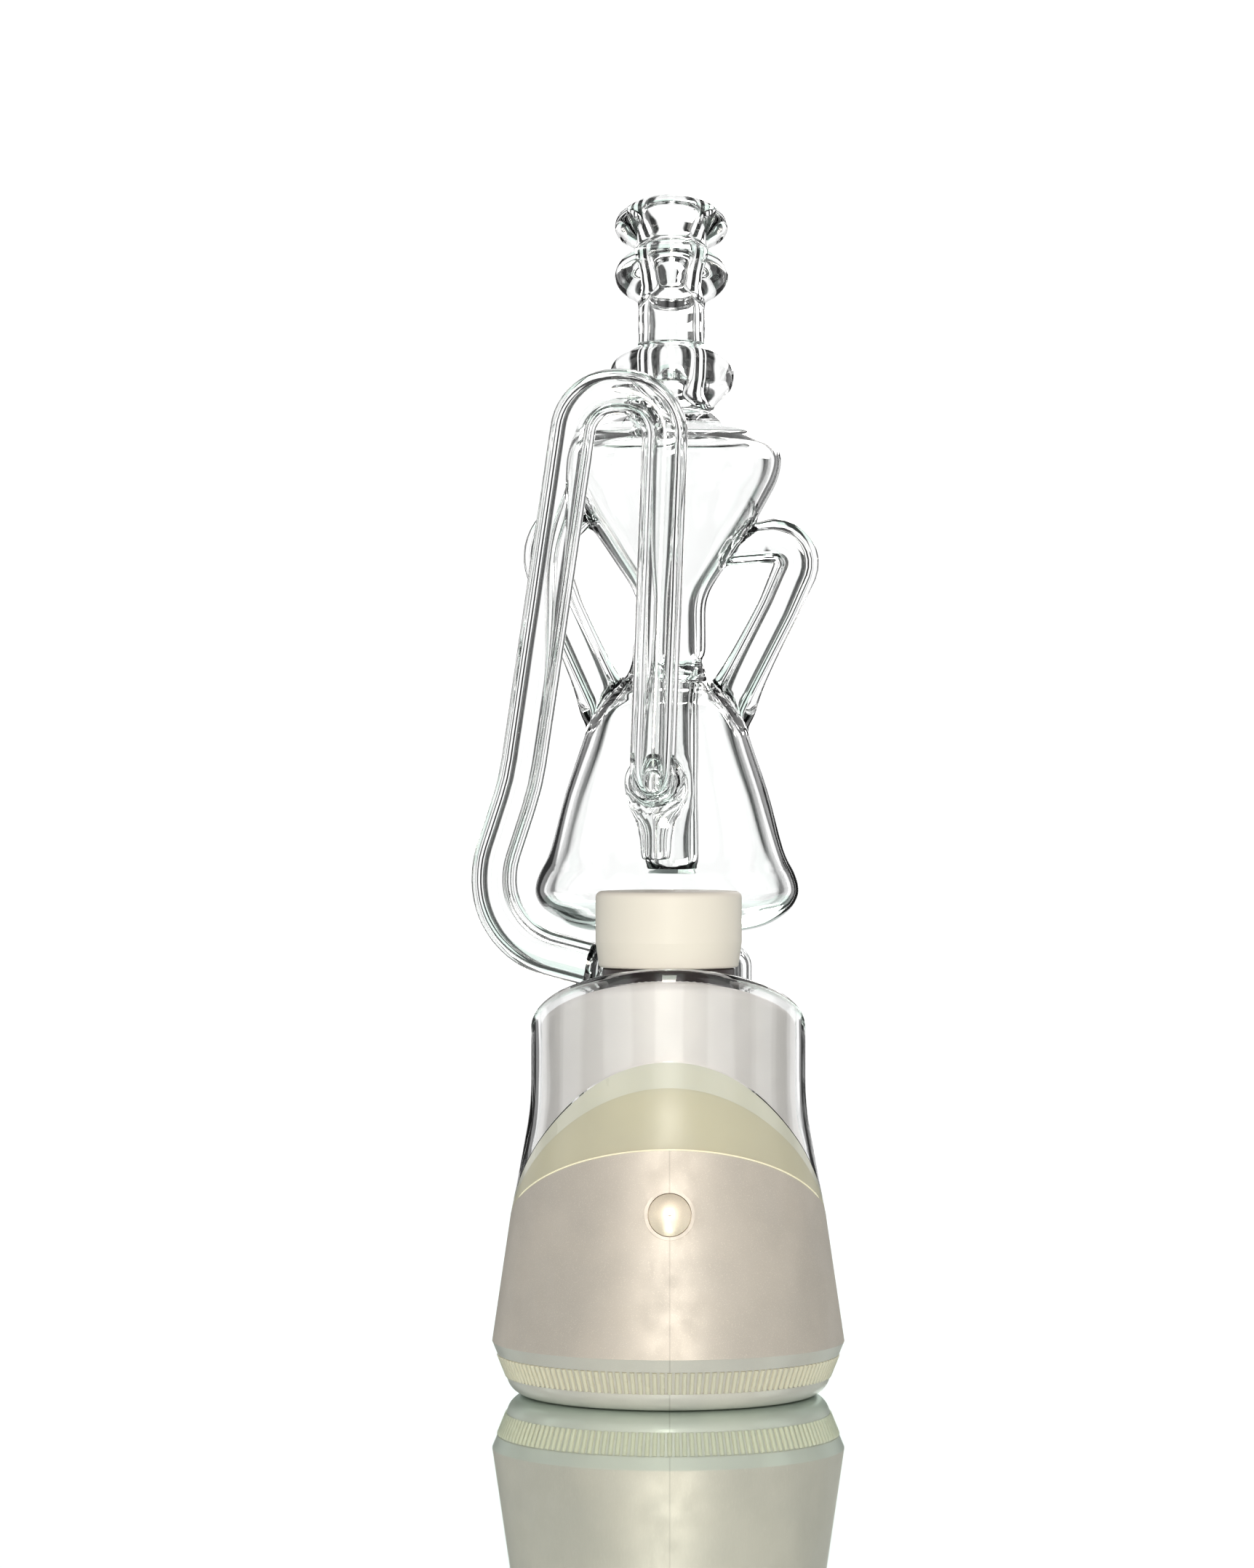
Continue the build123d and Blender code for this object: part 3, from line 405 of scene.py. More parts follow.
class Paint(Enum):
    """Every finish on the object."""

    GLASS = Finish(
        "flame_polished_glass", (0.990, 0.995, 0.992), roughness=0.0, roughness_spread=0.0, ior=1.474,
        transmission=1.0, bump=0.5, bump_scale=60.0, bump_reach=0.0006, bump_detail=0.5)
    # Painted glow: the lower shell's emission stands in for light shining through its translucent plastic.
    PEARL_LOWER = PearlPlastic(
        "pearl_lower_shell", (0.57, 0.515, 0.46), (0.51, 0.465, 0.42), mottle_scale=60.0, roughness=0.57,
        metallic=0.55, bump=0.12, bump_scale=1500.0, bump_reach=0.00005,
        emission=(0.62, 0.52, 0.42), emission_strength=0.05)
    # Painted light: the tower's emission makes up for the lamp light that the glass sleeve keeps off it.
    PEARL_UPPER = PearlPlastic(
        "pearl_tower", (0.80, 0.77, 0.745), (0.74, 0.71, 0.69), mottle_scale=60.0, roughness=0.52,
        metallic=0.35, bump=0.10, bump_scale=1500.0, bump_reach=0.00005, flake_amount=0.15,
        emission=(0.64, 0.61, 0.60), emission_strength=0.30, seam_depth=0.0)
    PEARL_FOOT = PearlPlastic(
        "pearl_foot", (0.67, 0.64, 0.59), (0.62, 0.595, 0.56), mottle_scale=60.0, roughness=0.45,
        metallic=0.3, bump=0.08, bump_scale=1500.0, bump_reach=0.00005, flake_amount=0.15)
    # Painted glow: the flutes' emission makes them shine brighter than the lamps light them.
    FLUTE = Finish(
        "pale_flute", (0.60, 0.57, 0.45), (0.56, 0.54, 0.44), roughness=0.3, subsurface=0.2,
        emission=(0.8, 0.72, 0.48), emission_strength=0.08, bump=0.05)
    # Painted glow: the button's emission makes it shine though it is no lamp.
    BUTTON = PearlPlastic(
        "pearl_button", (0.72, 0.63, 0.52), (0.64, 0.56, 0.46), mottle_scale=120.0, roughness=0.40,
        metallic=0.4, emission=(0.8, 0.66, 0.45), emission_strength=0.08,
        bump=0.08, bump_scale=1500.0, bump_reach=0.00005,
        flake=(0.95, 0.85, 0.62), flake_amount=0.4, seam_depth=0.0)
    # Painted glow: the window's emission stands in for light coming through the translucent plastic.
    WINDOW = Finish(
        "frosted_window", (0.50, 0.47, 0.345), (0.46, 0.435, 0.33), mottle_scale=45.0, roughness=0.42,
        subsurface=0.2, emission=(0.66, 0.60, 0.40), emission_strength=0.07,
        bump=0.08, bump_scale=1400.0, bump_reach=0.00005)
    # Painted glow: the arch's emission stands in for light coming through the translucent plastic.
    ARCH = Finish(
        "frosted_arch", (0.54, 0.535, 0.455), (0.50, 0.50, 0.43), mottle_scale=45.0, roughness=0.32,
        subsurface=0.2, coat=0.3, emission=(0.70, 0.66, 0.50), emission_strength=0.12,
        bump=0.08, bump_scale=1400.0, bump_reach=0.00005)
    # Painted highlight: a glowing line standing in for the light along the lower shell's top edge.
    PAINTED_EDGE_GLOW = Finish(
        "lit_edge", (0.90, 0.84, 0.62), (0.84, 0.79, 0.60), roughness=0.25, subsurface=0.3,
        emission=(1.0, 0.90, 0.58), emission_strength=0.25)
    CAP = Finish(
        "bone_ceramic", (0.54, 0.455, 0.375), (0.50, 0.425, 0.35), mottle_scale=160.0, roughness=0.38,
        bump=0.15, bump_scale=2600.0, bump_reach=0.00004)
    COLLAR = Finish(
        "dark_metal", (0.10, 0.075, 0.06), (0.07, 0.05, 0.04), mottle_scale=200.0, roughness=0.16,
        metallic=1.0, coat=0.5, bump=0.05, bump_scale=900.0, bump_reach=0.00003)
    CERAMIC = Finish(
        "white_ceramic", (0.82, 0.80, 0.76), (0.77, 0.75, 0.71), mottle_scale=150.0, roughness=0.35,
        bump=0.1, bump_scale=1800.0, bump_reach=0.00004)
    SILICONE = Finish(
        "grey_silicone", (0.30, 0.30, 0.30), (0.26, 0.26, 0.26), roughness=0.65, bump=0.2,
        bump_scale=1500.0, bump_reach=0.00005)
    FRAME = Finish(
        "moulded_frame", (0.07, 0.07, 0.075), (0.09, 0.09, 0.095), roughness=0.5, bump=0.2,
        bump_scale=1600.0, bump_reach=0.00006)
    BOARD = Finish("circuit_board", (0.02, 0.14, 0.06), (0.03, 0.18, 0.08), mottle_scale=500.0, roughness=0.3)
    CELL = Finish("cell_wrap", (0.05, 0.20, 0.42), (0.04, 0.17, 0.38), roughness=0.25, bump=0.05)
    STEEL = Finish(
        "plain_steel", (0.55, 0.55, 0.55), (0.48, 0.48, 0.48), mottle_scale=400.0, roughness=0.3, metallic=1.0)
    BRASS = Finish(
        "turned_brass", (0.72, 0.54, 0.24), (0.62, 0.45, 0.20), mottle_scale=400.0, roughness=0.25, metallic=1.0)

    def get(self) -> bpy.types.Material:
        """The material, made once.

        Returns:
            The material.
        """
        made = bpy.data.materials.get(self.value.name)
        return made or self.value.material()


NODE_PAINT: dict[str, Paint] = {
    "lower_shell": Paint.PEARL_LOWER,
    "upper_shell": Paint.PEARL_UPPER,
    "foot_ring": Paint.PEARL_FOOT,
    "button": Paint.BUTTON,
    "button_bezel": Paint.PEARL_LOWER,
    "light_window": Paint.WINDOW,
    "window_arch": Paint.ARCH,
    "chamber_collar": Paint.COLLAR,
    "carb_cap": Paint.CAP,
    "cap_seal": Paint.SILICONE,
    "chamber_oring": Paint.SILICONE,
    "base_pad": Paint.SILICONE,
    "base_plate": Paint.FRAME,
    "chassis": Paint.FRAME,
    "contact_block": Paint.FRAME,
    "base_screws": Paint.STEEL,
    "usb_port": Paint.STEEL,
    "haptic_motor": Paint.STEEL,
    "battery_left": Paint.CELL,
    "battery_right": Paint.CELL,
    "main_board": Paint.BOARD,
    "led_board": Paint.BOARD,
    "button_switch": Paint.BOARD,
    "contact_pins": Paint.BRASS,
    "chamber_base": Paint.BRASS,
    "chamber_insulator": Paint.CERAMIC,
    "heater_disc": Paint.CERAMIC,
    "bowl": Paint.CERAMIC,
}


# ---------------------------------------------------------------- mesh tools
def smooth_points(points: Sequence[Sequence[float]], steps: int) -> list[tuple[float, ...]]:
    """Points on the Catmull-Rom curve through the given points.

    Args:
        points: The points to pass through, of any number of coordinates.
        steps: Parts that each span is divided in.

    Returns:
        The denser list, ends included.
    """
    last = len(points) - 1
    dense: list[tuple[float, ...]] = []
    for index in range(last):
        quad = [points[min(max(index + shift, 0), last)] for shift in (-1, 0, 1, 2)]
        for step in range(steps):
            t = step / steps
            weights = (
                -0.5 * t + t * t - 0.5 * t ** 3,
                1 - 2.5 * t * t + 1.5 * t ** 3,
                0.5 * t + 2 * t * t - 1.5 * t ** 3,
                -0.5 * t * t + 0.5 * t ** 3,
            )
            dense.append(tuple(sum(w * p[k] for w, p in zip(weights, quad)) for k in range(len(quad[0]))))
    dense.append(tuple(points[last]))
    return dense


def inset_outline(outline: Outline, wall: float) -> list[tuple[float, float]]:
    """Outline of a wall's inner face, square to the outer one.

    Args:
        outline: Outer (radius, height) points from bottom to top.
        wall: Wall thickness.

    Returns:
        The inner points.
    """
    inner = []
    last = len(outline) - 1
    for index, (radius, height) in enumerate(outline):
        before, after = outline[max(index - 1, 0)], outline[min(index + 1, last)]
        run = Vector((after[0] - before[0], after[1] - before[1])).normalized()
        inner.append((max(radius - wall * run.y, 0.0), height + wall * run.x))
    return inner


def new_object(name: str, mesh: bpy.types.Mesh) -> bpy.types.Object:
    """Link a mesh in the scene as an object at the origin.

    Args:
        name: The object's name.
        mesh: Its mesh.

    Returns:
        The object.
    """
    made = bpy.data.objects.new(name, mesh)
    bpy.context.scene.collection.objects.link(made)
    return made


def discard(*objects: bpy.types.Object) -> None:
    """Remove helper objects.

    Args:
        objects: What is removed.
    """
    for made in objects:
        bpy.data.objects.remove(made, do_unlink=True)


def turned(
    name: str,
    outline: Outline,
    place: Callable[[float], Matrix],
    segments: int = 96,
) -> bpy.types.Object:
    """Closed body of revolution whose rings may follow a bent axis.

    Args:
        name: The object's name.
        outline: (radius, height) points from bottom to top, on the axis at both ends.
        place: The frame of the ring at a height.
        segments: Points in each ring.

    Returns:
        The body.
    """
    mesh = bmesh.new()
    rings: list[list[bmesh.types.BMVert]] = []
    for radius, height in outline:
        frame = place(height)
        if radius < AXIS_RADIUS:
            rings.append([mesh.verts.new(frame @ Vector((0, 0, 0)) * MM)])
            continue
        turn = (2 * math.pi * index / segments for index in range(segments))
        rings.append([
            mesh.verts.new(frame @ Vector((radius * math.cos(angle), radius * math.sin(angle), 0)) * MM)
            for angle in turn
        ])
    for low, high in zip(rings, rings[1:]):
        for index in range(segments):
            after = (index + 1) % segments
            corners = [
                low[index % len(low)], low[after % len(low)],
                high[after % len(high)], high[index % len(high)],
            ]
            unique = list(dict.fromkeys(corners))
            if len(unique) > 2:
                mesh.faces.new(unique)
    bmesh.ops.recalc_face_normals(mesh, faces=mesh.faces)
    data = bpy.data.meshes.new(name)
    mesh.to_mesh(data)
    mesh.free()
    return new_object(name, data)


def upright(x: float, y: float) -> Callable[[float], Matrix]:
    """Frames on an upright axis.

    Args:
        x: The axis across.
        y: The axis from front to back.

    Returns:
        The frame of a ring at a height.
    """
    return lambda height: Matrix.Translation((x, y, height))


def combine(base: bpy.types.Object, operation: str, *others: bpy.types.Object) -> bpy.types.Object:
    """Boolean of closed bodies. The others are removed.

    Args:
        base: The body that is changed.
        operation: UNION or DIFFERENCE.
        others: The bodies that are added or taken away.

    Returns:
        The changed body.
    """
    for other in others:
        cut = base.modifiers.new(operation, "BOOLEAN")
        cut.operation, cut.solver, cut.object = operation, "MANIFOLD", other
        settle(base)
        discard(other)
    return base


def evaluated_mesh(made: bpy.types.Object) -> bpy.types.Mesh:
    """Mesh of an object with its modifiers applied.

    Args:
        made: The object.

    Returns:
        A new mesh.
    """
    graph = bpy.context.evaluated_depsgraph_get()
    return bpy.data.meshes.new_from_object(made.evaluated_get(graph), depsgraph=graph)


def settle(made: bpy.types.Object) -> None:
    """Turn an object's modifiers into its plain mesh.

    Args:
        made: The object.
    """
    data = evaluated_mesh(made)
    made.modifiers.clear()
    made.data = data


def soften(made: bpy.types.Object, crease: float, reach: float, rounds: int) -> None:
    """Round the welds: relax the surface near its creases, as a flame does.

    Args:
        made: The body.
        crease: Angle in degrees over which an edge is a crease.
        reach: Distance from a crease that is relaxed, in millimetres.
        rounds: How many times it is relaxed.
    """
    mesh = bmesh.new()
    mesh.from_mesh(made.data)
    bmesh.ops.remove_doubles(mesh, verts=mesh.verts, dist=0.02 * MM)
    limit = math.radians(crease)
    sharp = [edge for edge in mesh.edges if edge.is_manifold and edge.calc_face_angle(0.0) > limit]
    near = {vert for edge in sharp for vert in edge.verts}
    if near:
        tree = KDTree(len(near))
        for index, vert in enumerate(near):
            tree.insert(vert.co, index)
        tree.balance()
        chosen = [vert for vert in mesh.verts if tree.find(vert.co)[2] < reach * MM]
        for _ in range(rounds):
            bmesh.ops.smooth_vert(
                mesh, verts=chosen, factor=0.5, use_axis_x=True, use_axis_y=True, use_axis_z=True)
    mesh.to_mesh(made.data)
    mesh.free()


def polish(made: bpy.types.Object, paint: Paint, sharp: float = 50.0) -> None:
    """Smooth shading with real edges kept, and the finish.

    Args:
        made: The piece.
        paint: Its finish.
        sharp: Angle in degrees over which an edge stays sharp.
    """
    made.data.polygons.foreach_set("use_smooth", [True] * len(made.data.polygons))
    made.data.set_sharp_from_angle(angle=math.radians(sharp))
    made.data.materials.clear()
    made.data.materials.append(paint.get())


# ---------------------------------------------------------------- geometry nodes
class NodeTool:
    """A Geometry Nodes tree with named inputs, applied to make a plain mesh."""

    def __init__(self, name: str, sockets: dict[str, tuple[str, float]]) -> None:
        """Start the tree.

        Args:
            name: The tree's name.
            sockets: Socket type and default by input name.
        """
        self.tree = bpy.data.node_groups.new(name, "GeometryNodeTree")
        self.graph = Graph(self.tree)
        self.tree.interface.new_socket("Geometry", in_out="INPUT", socket_type="NodeSocketGeometry")
        for label, (kind, default) in sockets.items():
            socket = self.tree.interface.new_socket(label, in_out="INPUT", socket_type=kind)
            socket.default_value = default
        self.tree.interface.new_socket("Geometry", in_out="OUTPUT", socket_type="NodeSocketGeometry")
        self.given = self.tree.nodes.new("NodeGroupInput")

    def input(self, name: str) -> Value:
        """One of the tree's inputs.

        Args:
            name: The input's name.

        Returns:
            Its value.
        """
        return Value(self.graph, self.given.outputs[name])

    def end(self, geometry: Value, paint: Paint) -> None:
        """Close the tree with Realize Instances and Set Material.

        Args:
            geometry: What the tree has made.
            paint: Its finish.
        """
        solid = self.graph.add("GeometryNodeRealizeInstances", {}, {"Geometry": geometry})
        painted = self.graph.add("GeometryNodeSetMaterial", {}, {"Geometry": solid, "Material": paint.get()})
        self.graph.add("NodeGroupOutput", {}, {"Geometry": painted})

    def run(self, made: bpy.types.Object, sizes: dict[str, float]) -> bpy.types.Object:
        """Apply the tree to an object and replace it with the plain mesh.

        Args:
            made: The object to start from.
            sizes: Input values by name.

        Returns:
            A mesh object of the same name.
        """
        modifier = made.modifiers.new(self.tree.name, "NODES")
        modifier.node_group = self.tree
        items = self.tree.interface.items_tree
        names = {item.name: item.identifier for item in items if item.in_out == "INPUT"}
        for label, size in sizes.items():
            modifier[names[label]] = size
        bpy.context.view_layer.update()
        data = evaluated_mesh(made)
        name = made.name
        discard(made)
        return new_object(name, data)


class TubeTool(NodeTool):
    """Solid rod or bore along a route, whose radius may change on the way."""

    def __init__(self) -> None:
        """Build the tree."""
        super().__init__("tube_along_route", {
            "Sides": ("NodeSocketInt", 64), "Spacing": ("NodeSocketFloat", 0.0011)})
        add = self.graph.add
        even = add("GeometryNodeResampleCurve", {"mode": "LENGTH"}, {
            "Curve": self.input("Geometry"), "Length": self.input("Spacing")})
        section = add("GeometryNodeCurvePrimitiveCircle", {}, {"Resolution": self.input("Sides"), "Radius": 1.0})
        swell = add("GeometryNodeInputRadius")
        skin = add("GeometryNodeCurveToMesh", {}, {
            "Curve": even, "Profile Curve": section, "Scale": swell, "Fill Caps": True})
        self.end(skin, Paint.GLASS)

    def tube(
        self,
        name: str,
        route: Sequence[Sequence[float]],
        radii: Sequence[float] | float,
        steps: int = 8,
        sides: int = 64,
    ) -> bpy.types.Object:
        """Make one tube.

        Args:
            name: The object's name.
            route: Points of the centre line, in millimetres.
            radii: Radius at each point, or one for all, in millimetres.
            steps: Parts that each span of the route is divided in.
            sides: Points round the tube.

        Returns:
            The closed tube.
        """
        if isinstance(radii, (int, float)):
            radii = [radii] * len(route)
        dense = smooth_points([(*point, radius) for point, radius in zip(route, radii)], steps)
        curve = bpy.data.curves.new(name, "CURVE")
        curve.dimensions = "3D"
        spline = curve.splines.new("POLY")
        spline.points.add(len(dense) - 1)
        for point, (x, y, z, radius) in zip(spline.points, dense):
            point.co = (x * MM, y * MM, z * MM, 1.0)
            point.radius = radius * MM
        return self.run(new_object(name, curve), {"Sides": sides})


class RibTool(NodeTool):
    """Upright half-round ribs set round a flared band."""

    def __init__(self) -> None:
        """Build the tree."""
        super().__init__("ribs_round_band", {
            "Ribs": ("NodeSocketInt", 144),
            "Band Radius": ("NodeSocketFloat", 0.033),
            "Band Height": ("NodeSocketFloat", 0.006),
            "Rib Length": ("NodeSocketFloat", 0.004),
            "Rib Radius": ("NodeSocketFloat", 0.0004),
            "Lean": ("NodeSocketFloat", 0.3),
        })
        add = self.graph.add
        index = add("GeometryNodeInputIndex")
        turn = index * (2 * math.pi) / self.input("Ribs")
        across = add("ShaderNodeMath", {"operation": "COSINE"}, {0: turn}) * self.input("Band Radius")
        along = add("ShaderNodeMath", {"operation": "SINE"}, {0: turn}) * self.input("Band Radius")
        spot = add("ShaderNodeCombineXYZ", {}, {"X": across, "Y": along, "Z": self.input("Band Height")})
        points = add("GeometryNodePoints", {}, {"Count": self.input("Ribs"), "Position": spot})
        rib = add("GeometryNodeMeshCylinder", {}, {
            "Vertices": 12, "Radius": self.input("Rib Radius"), "Depth": self.input("Rib Length")})
        euler = add("ShaderNodeCombineXYZ", {}, {"X": 0.0, "Y": self.input("Lean"), "Z": turn})
        rotation = add("FunctionNodeEulerToRotation", {}, {"Euler": euler})
        ribs = add("GeometryNodeInstanceOnPoints", {}, {
            "Points": points, "Instance": rib, "Rotation": rotation})
        self.end(ribs, Paint.FLUTE)


# ---------------------------------------------------------------- the parts
@dataclass
class Recycler:
    """The blown glass over the bell: drain can, funnel, arms, intake tube and mouthpiece, all one body."""

    tubes: TubeTool
    axis_x: float = 1.0
    axis_y: float = 34.0
    lean_degrees: float = 5.0
    lean_from: float = 197.2
    lean_blend: float = 6.0
    stem_lean_degrees: float = 10.0
    stem_lean_from: float = 215.0
    stem_blend_from: float = 211.5
    stem_blend: float = 9.0
    can_space_top: float = 152.0
    funnel_space_top: float = 194.0
    weld_crease: float = 24.0
    weld_reach: float = 2.0
    weld_rounds: int = 6
    can_wall: float = 2.2
    funnel_wall: float = 2.0
    arm_radius: float = 4.25
    arm_bore: float = 2.45
    arm_foot_swell: float = 1.5
    arm_elbow_swell: float = 0.5
    intake_radius: float = 4.6
    intake_bore: float = 2.6
    can: Outline = (
        (0.0, 90.2), (5.0, 90.2), (9.0, 90.2), (15.0, 90.7), (19.4, 91.6), (22.7, 93.1), (25.6, 95.4),
        (27.0, 97.9), (27.1, 100.2), (26.2, 103.0), (24.0, 107.6), (20.9, 119.2), (17.6, 129.0),
        (15.8, 134.7), (14.2, 137.9),
        (11.9, 140.2), (9.9, 141.7), (8.4, 143.2), (7.4, 145.4), (7.0, 148.0), (7.0, 150.0),
    )
    top: Outline = (
        (7.0, 147.0), (7.0, 152.0), (7.0, 157.0), (7.5, 159.6), (8.6, 162.0), (11.0, 165.6), (13.9, 169.9),
        (16.9, 174.3), (19.6, 179.0), (21.6, 182.9), (22.5, 186.4), (22.2, 189.2), (20.6, 191.7), (17.5, 193.7),
        (13.5, 195.2), (10.2, 196.5), (8.5, 197.7), (9.4, 199.3), (11.0, 200.8), (12.3, 202.5), (12.8, 204.9),
        (12.4, 207.1), (11.0, 208.9), (9.0, 210.0), (7.5, 210.8), (6.9, 212.2), (6.9, 216.0), (6.9, 219.8),
        (7.4, 221.2), (9.2, 222.6), (11.0, 224.4), (11.7, 226.3), (11.2, 228.3), (9.8, 230.0), (8.0, 231.3),
        (7.4, 232.2), (8.0, 233.2), (9.6, 234.3), (11.1, 235.6), (11.7, 237.2), (11.3, 238.9), (10.0, 240.3),
        (8.2, 241.3), (6.9, 241.6),
    )
    throat: Outline = (
        (16.0, 193.2), (12.5, 194.3), (8.6, 195.4), (6.4, 197.6), (5.6, 200.5), (4.8, 205.0), (4.8, 215.0),
        (4.8, 225.0), (4.8, 232.0), (5.6, 238.0), (6.6, 242.5),
    )
    brace: Sequence[Sequence[float]] = (
        (-6.0, 4.9, 199.0), (-5.2, 9.0, 195.6), (-3.6, 16.0, 194.6), (-2.2, 22.5, 192.6))

    def route(self, points: Sequence[Sequence[float]], radii: Sequence[float]) -> list[tuple[float, float, float]]:
        """Round a route's corners.

        Args:
            points: The route's corners and ends.
            radii: Bend radius at each inner corner.

        Returns:
            Closely spaced points: straight runs joined by arcs.
        """
        corners = [Vector(point) for point in points]
        line = [corners[0]]
        for before, corner, after, radius in zip(corners, corners[1:], corners[2:], radii):
            enter, leave = (before - corner).normalized(), (after - corner).normalized()
            half = enter.angle(leave) / 2
            centre = corner + (enter + leave).normalized() * (radius / math.sin(half))
            first = (corner + enter * (radius / math.tan(half)) - centre).normalized()
            last = (corner + leave * (radius / math.tan(half)) - centre).normalized()
            steps = max(int(math.degrees(first.angle(last)) / 6), 2)
            line += [centre + first.slerp(last, step / steps) * radius for step in range(steps + 1)]
        line.append(corners[-1])
        dense = [line[0]]
        for before, after in zip(line, line[1:]):
            parts = max(int((after - before).length / 2.0), 1)
            dense += [before.lerp(after, part / parts) for part in range(1, parts + 1)]
        return [tuple(point) for point in dense]

    def leaning(self, height: float) -> Matrix:
        """Frame of a ring on the funnel's axis, which leans back at the neck and again at the stem.

        Args:
            height: Distance along the axis from the table, in millimetres.

        Returns:
            The ring's frame.
        """
        lower = math.radians(self.lean_degrees)
        upper = lower + math.radians(self.stem_lean_degrees)
        neck_share = min(max((height - self.lean_from + self.lean_blend / 2) / self.lean_blend, 0.0), 1.0)
        stem_share = min(max((height - self.stem_blend_from) / self.stem_blend, 0.0), 1.0)
        over = max(height - self.lean_from, 0.0)
        beyond = max(height - self.stem_lean_from, 0.0)
        back = self.axis_y
        back += over * math.sin(lower) + beyond * (math.sin(upper) - math.sin(lower))
        rise = min(height, self.lean_from) + over * math.cos(lower)
        rise += beyond * (math.cos(upper) - math.cos(lower))
        tilt = lower * neck_share + math.radians(self.stem_lean_degrees) * stem_share
        return Matrix.Translation((self.axis_x, back, rise)) @ Matrix.Rotation(-tilt, 4, "X")

    def lathe(
        self,
        name: str,
        outline: Outline,
        place: Callable[[float], Matrix],
        steps: int = 4,
    ) -> bpy.types.Object:
        """Smooth turned body, closed on its axis at both ends.

        Args:
            name: The object's name.
            outline: (radius, height) points from bottom to top.
            place: The frame of the ring at a height.
            steps: Parts that each span of the outline is divided in.

        Returns:
            The body.
        """
        dense = smooth_points(outline, steps)
        if dense[0][0] > AXIS_RADIUS:
            dense.insert(0, (0.0, dense[0][1]))
        if dense[-1][0] > AXIS_RADIUS:
            dense.append((0.0, dense[-1][1]))
        return turned(name, dense, place)

    def outer(self) -> bpy.types.Object:
        """Everything solid, before it is hollowed.

        Returns:
            The outer body.
        """
        can = self.lathe("glass_recycler", self.can, upright(0.0, self.axis_y))
        top = self.lathe("top", self.top, self.leaning)
        arms = []
        for name, side in (("arm_right", 1), ("arm_left", -1)):
            route = self.arm_route(side)
            arms.append(self.tubes.tube(name, route, self.arm_swell(route, self.arm_radius), steps=2))
        intake = self.tubes.tube("intake", self.intake_route(), self.intake_radius, steps=1)
        brace = self.tubes.tube("brace", self.brace, [3.6, 2.9, 2.9, 4.6])
        bead = self.bead()
        post = self.tubes.tube("post", [(-8, 21.5, 84.0), (-8, 21.5, 88.0), (-8, 22.5, 94.0)], [5.5, 5.3, 6.5])
        return combine(can, "UNION", top, *arms, intake, brace, bead, post)

    def arm_route(self, side: int) -> list[tuple[float, float, float]]:
        """Centre line of an arm, from inside the can's shoulder to inside the funnel.

        Args:
            side: 1 for the right arm, -1 for the left one.

        Returns:
            Points of the line.
        """
        y = self.axis_y
        if side > 0:
            return self.route([(9.5, y, 131.0), (22.9, y, 157.0), (29.3, y, 171.6), (11.0, y, 170.1)], [25, 4.6])
        return self.route([(-9.5, y, 131.0), (-21.4, y, 157.0), (-26.2, y, 170.0), (-14.0, y, 182.0)], [25, 9])

    def arm_swell(self, route: Sequence[Sequence[float]], radius: float) -> list[float]:
        """Radius along an arm.

        Args:
            route: Points of its centre line.
            radius: Radius of its plain stretch.

        Returns:
            The radius at each point: wider at the can's shoulder and round the elbow.
        """
        swell = []
        for point in route:
            foot = self.arm_foot_swell * math.exp(-max(point[2] - 138.0, 0.0) / 5.0)
            elbow = self.arm_elbow_swell * math.exp(-((point[2] - 168.0) / 7.0) ** 2) * (abs(point[0]) > 20)
            swell.append(radius + foot + elbow)
        return swell

    def intake_route(self) -> list[tuple[float, float, float]]:
        """Centre line of the tube from the bell's hump over the funnel's side and into the can.

        Returns:
            Points of the line.
        """
        corners = [
            (-12.0, 15.5, 83.5), (-35.0, 15.5, 89.6), (-35.0, 14.5, 104.8), (-29.5, 11.5, 121.5),
            (-17.9, 4.4, 199.4), (-0.3, 5.2, 199.4), (-3.2, 5.2, 121.2), (-2.3, 19.0, 121.2),
        ]
        return self.route(corners, [15.5, 18, 45, 8.5, 8.5, 6])

    def bead(self) -> bpy.types.Object:
        """Thick bead of glass where the intake tube goes through the can's wall.

        Returns:
            The bead.
        """
        points, radii = [], []
        for step in range(-6, 7):
            across = step / 6.0
            points.append((-2.6, 12.6 + 3.6 * across, 121.2))
            radii.append(6.6 * math.sqrt(max(1 - (across * 0.93) ** 2, 0.02)))
        return self.tubes.tube("bead", points, radii, steps=2, sides=64)

    def hollows(self) -> list[bpy.types.Object]:
        """Every inner space: can, neck, funnel, throat, arm bores and intake bore.

        Returns:
            The spaces as closed bodies.
        """
        can = inset_outline(smooth_points(self.can, 4), self.can_wall)
        can[0] = (0.0, can[0][1])
        can = [point for point in can if point[1] < self.can_space_top]
        can.append((0.0, can[-1][1]))
        lid = [point for point in smooth_points(self.top, 4) if point[1] < self.funnel_space_top]
        funnel = inset_outline(lid, self.funnel_wall)
        throat = smooth_points(self.throat, 4)
        inner = [point for point in funnel if point[1] < throat[0][1]]
        upper = [(0.0, inner[0][1])] + inner + throat[1:]
        upper.append((0.0, upper[-1][1]))
        return [
            turned("can_space", can, upright(0.0, self.axis_y)),
            turned("funnel_space", upper, self.leaning),
            self.tubes.tube("right_bore", self.arm_route(1), self.arm_bore, steps=1),
            self.tubes.tube("left_bore", self.arm_route(-1), self.arm_bore, steps=1),
            self.tubes.tube("intake_bore", self.intake_route(), self.intake_bore, steps=1),
        ]

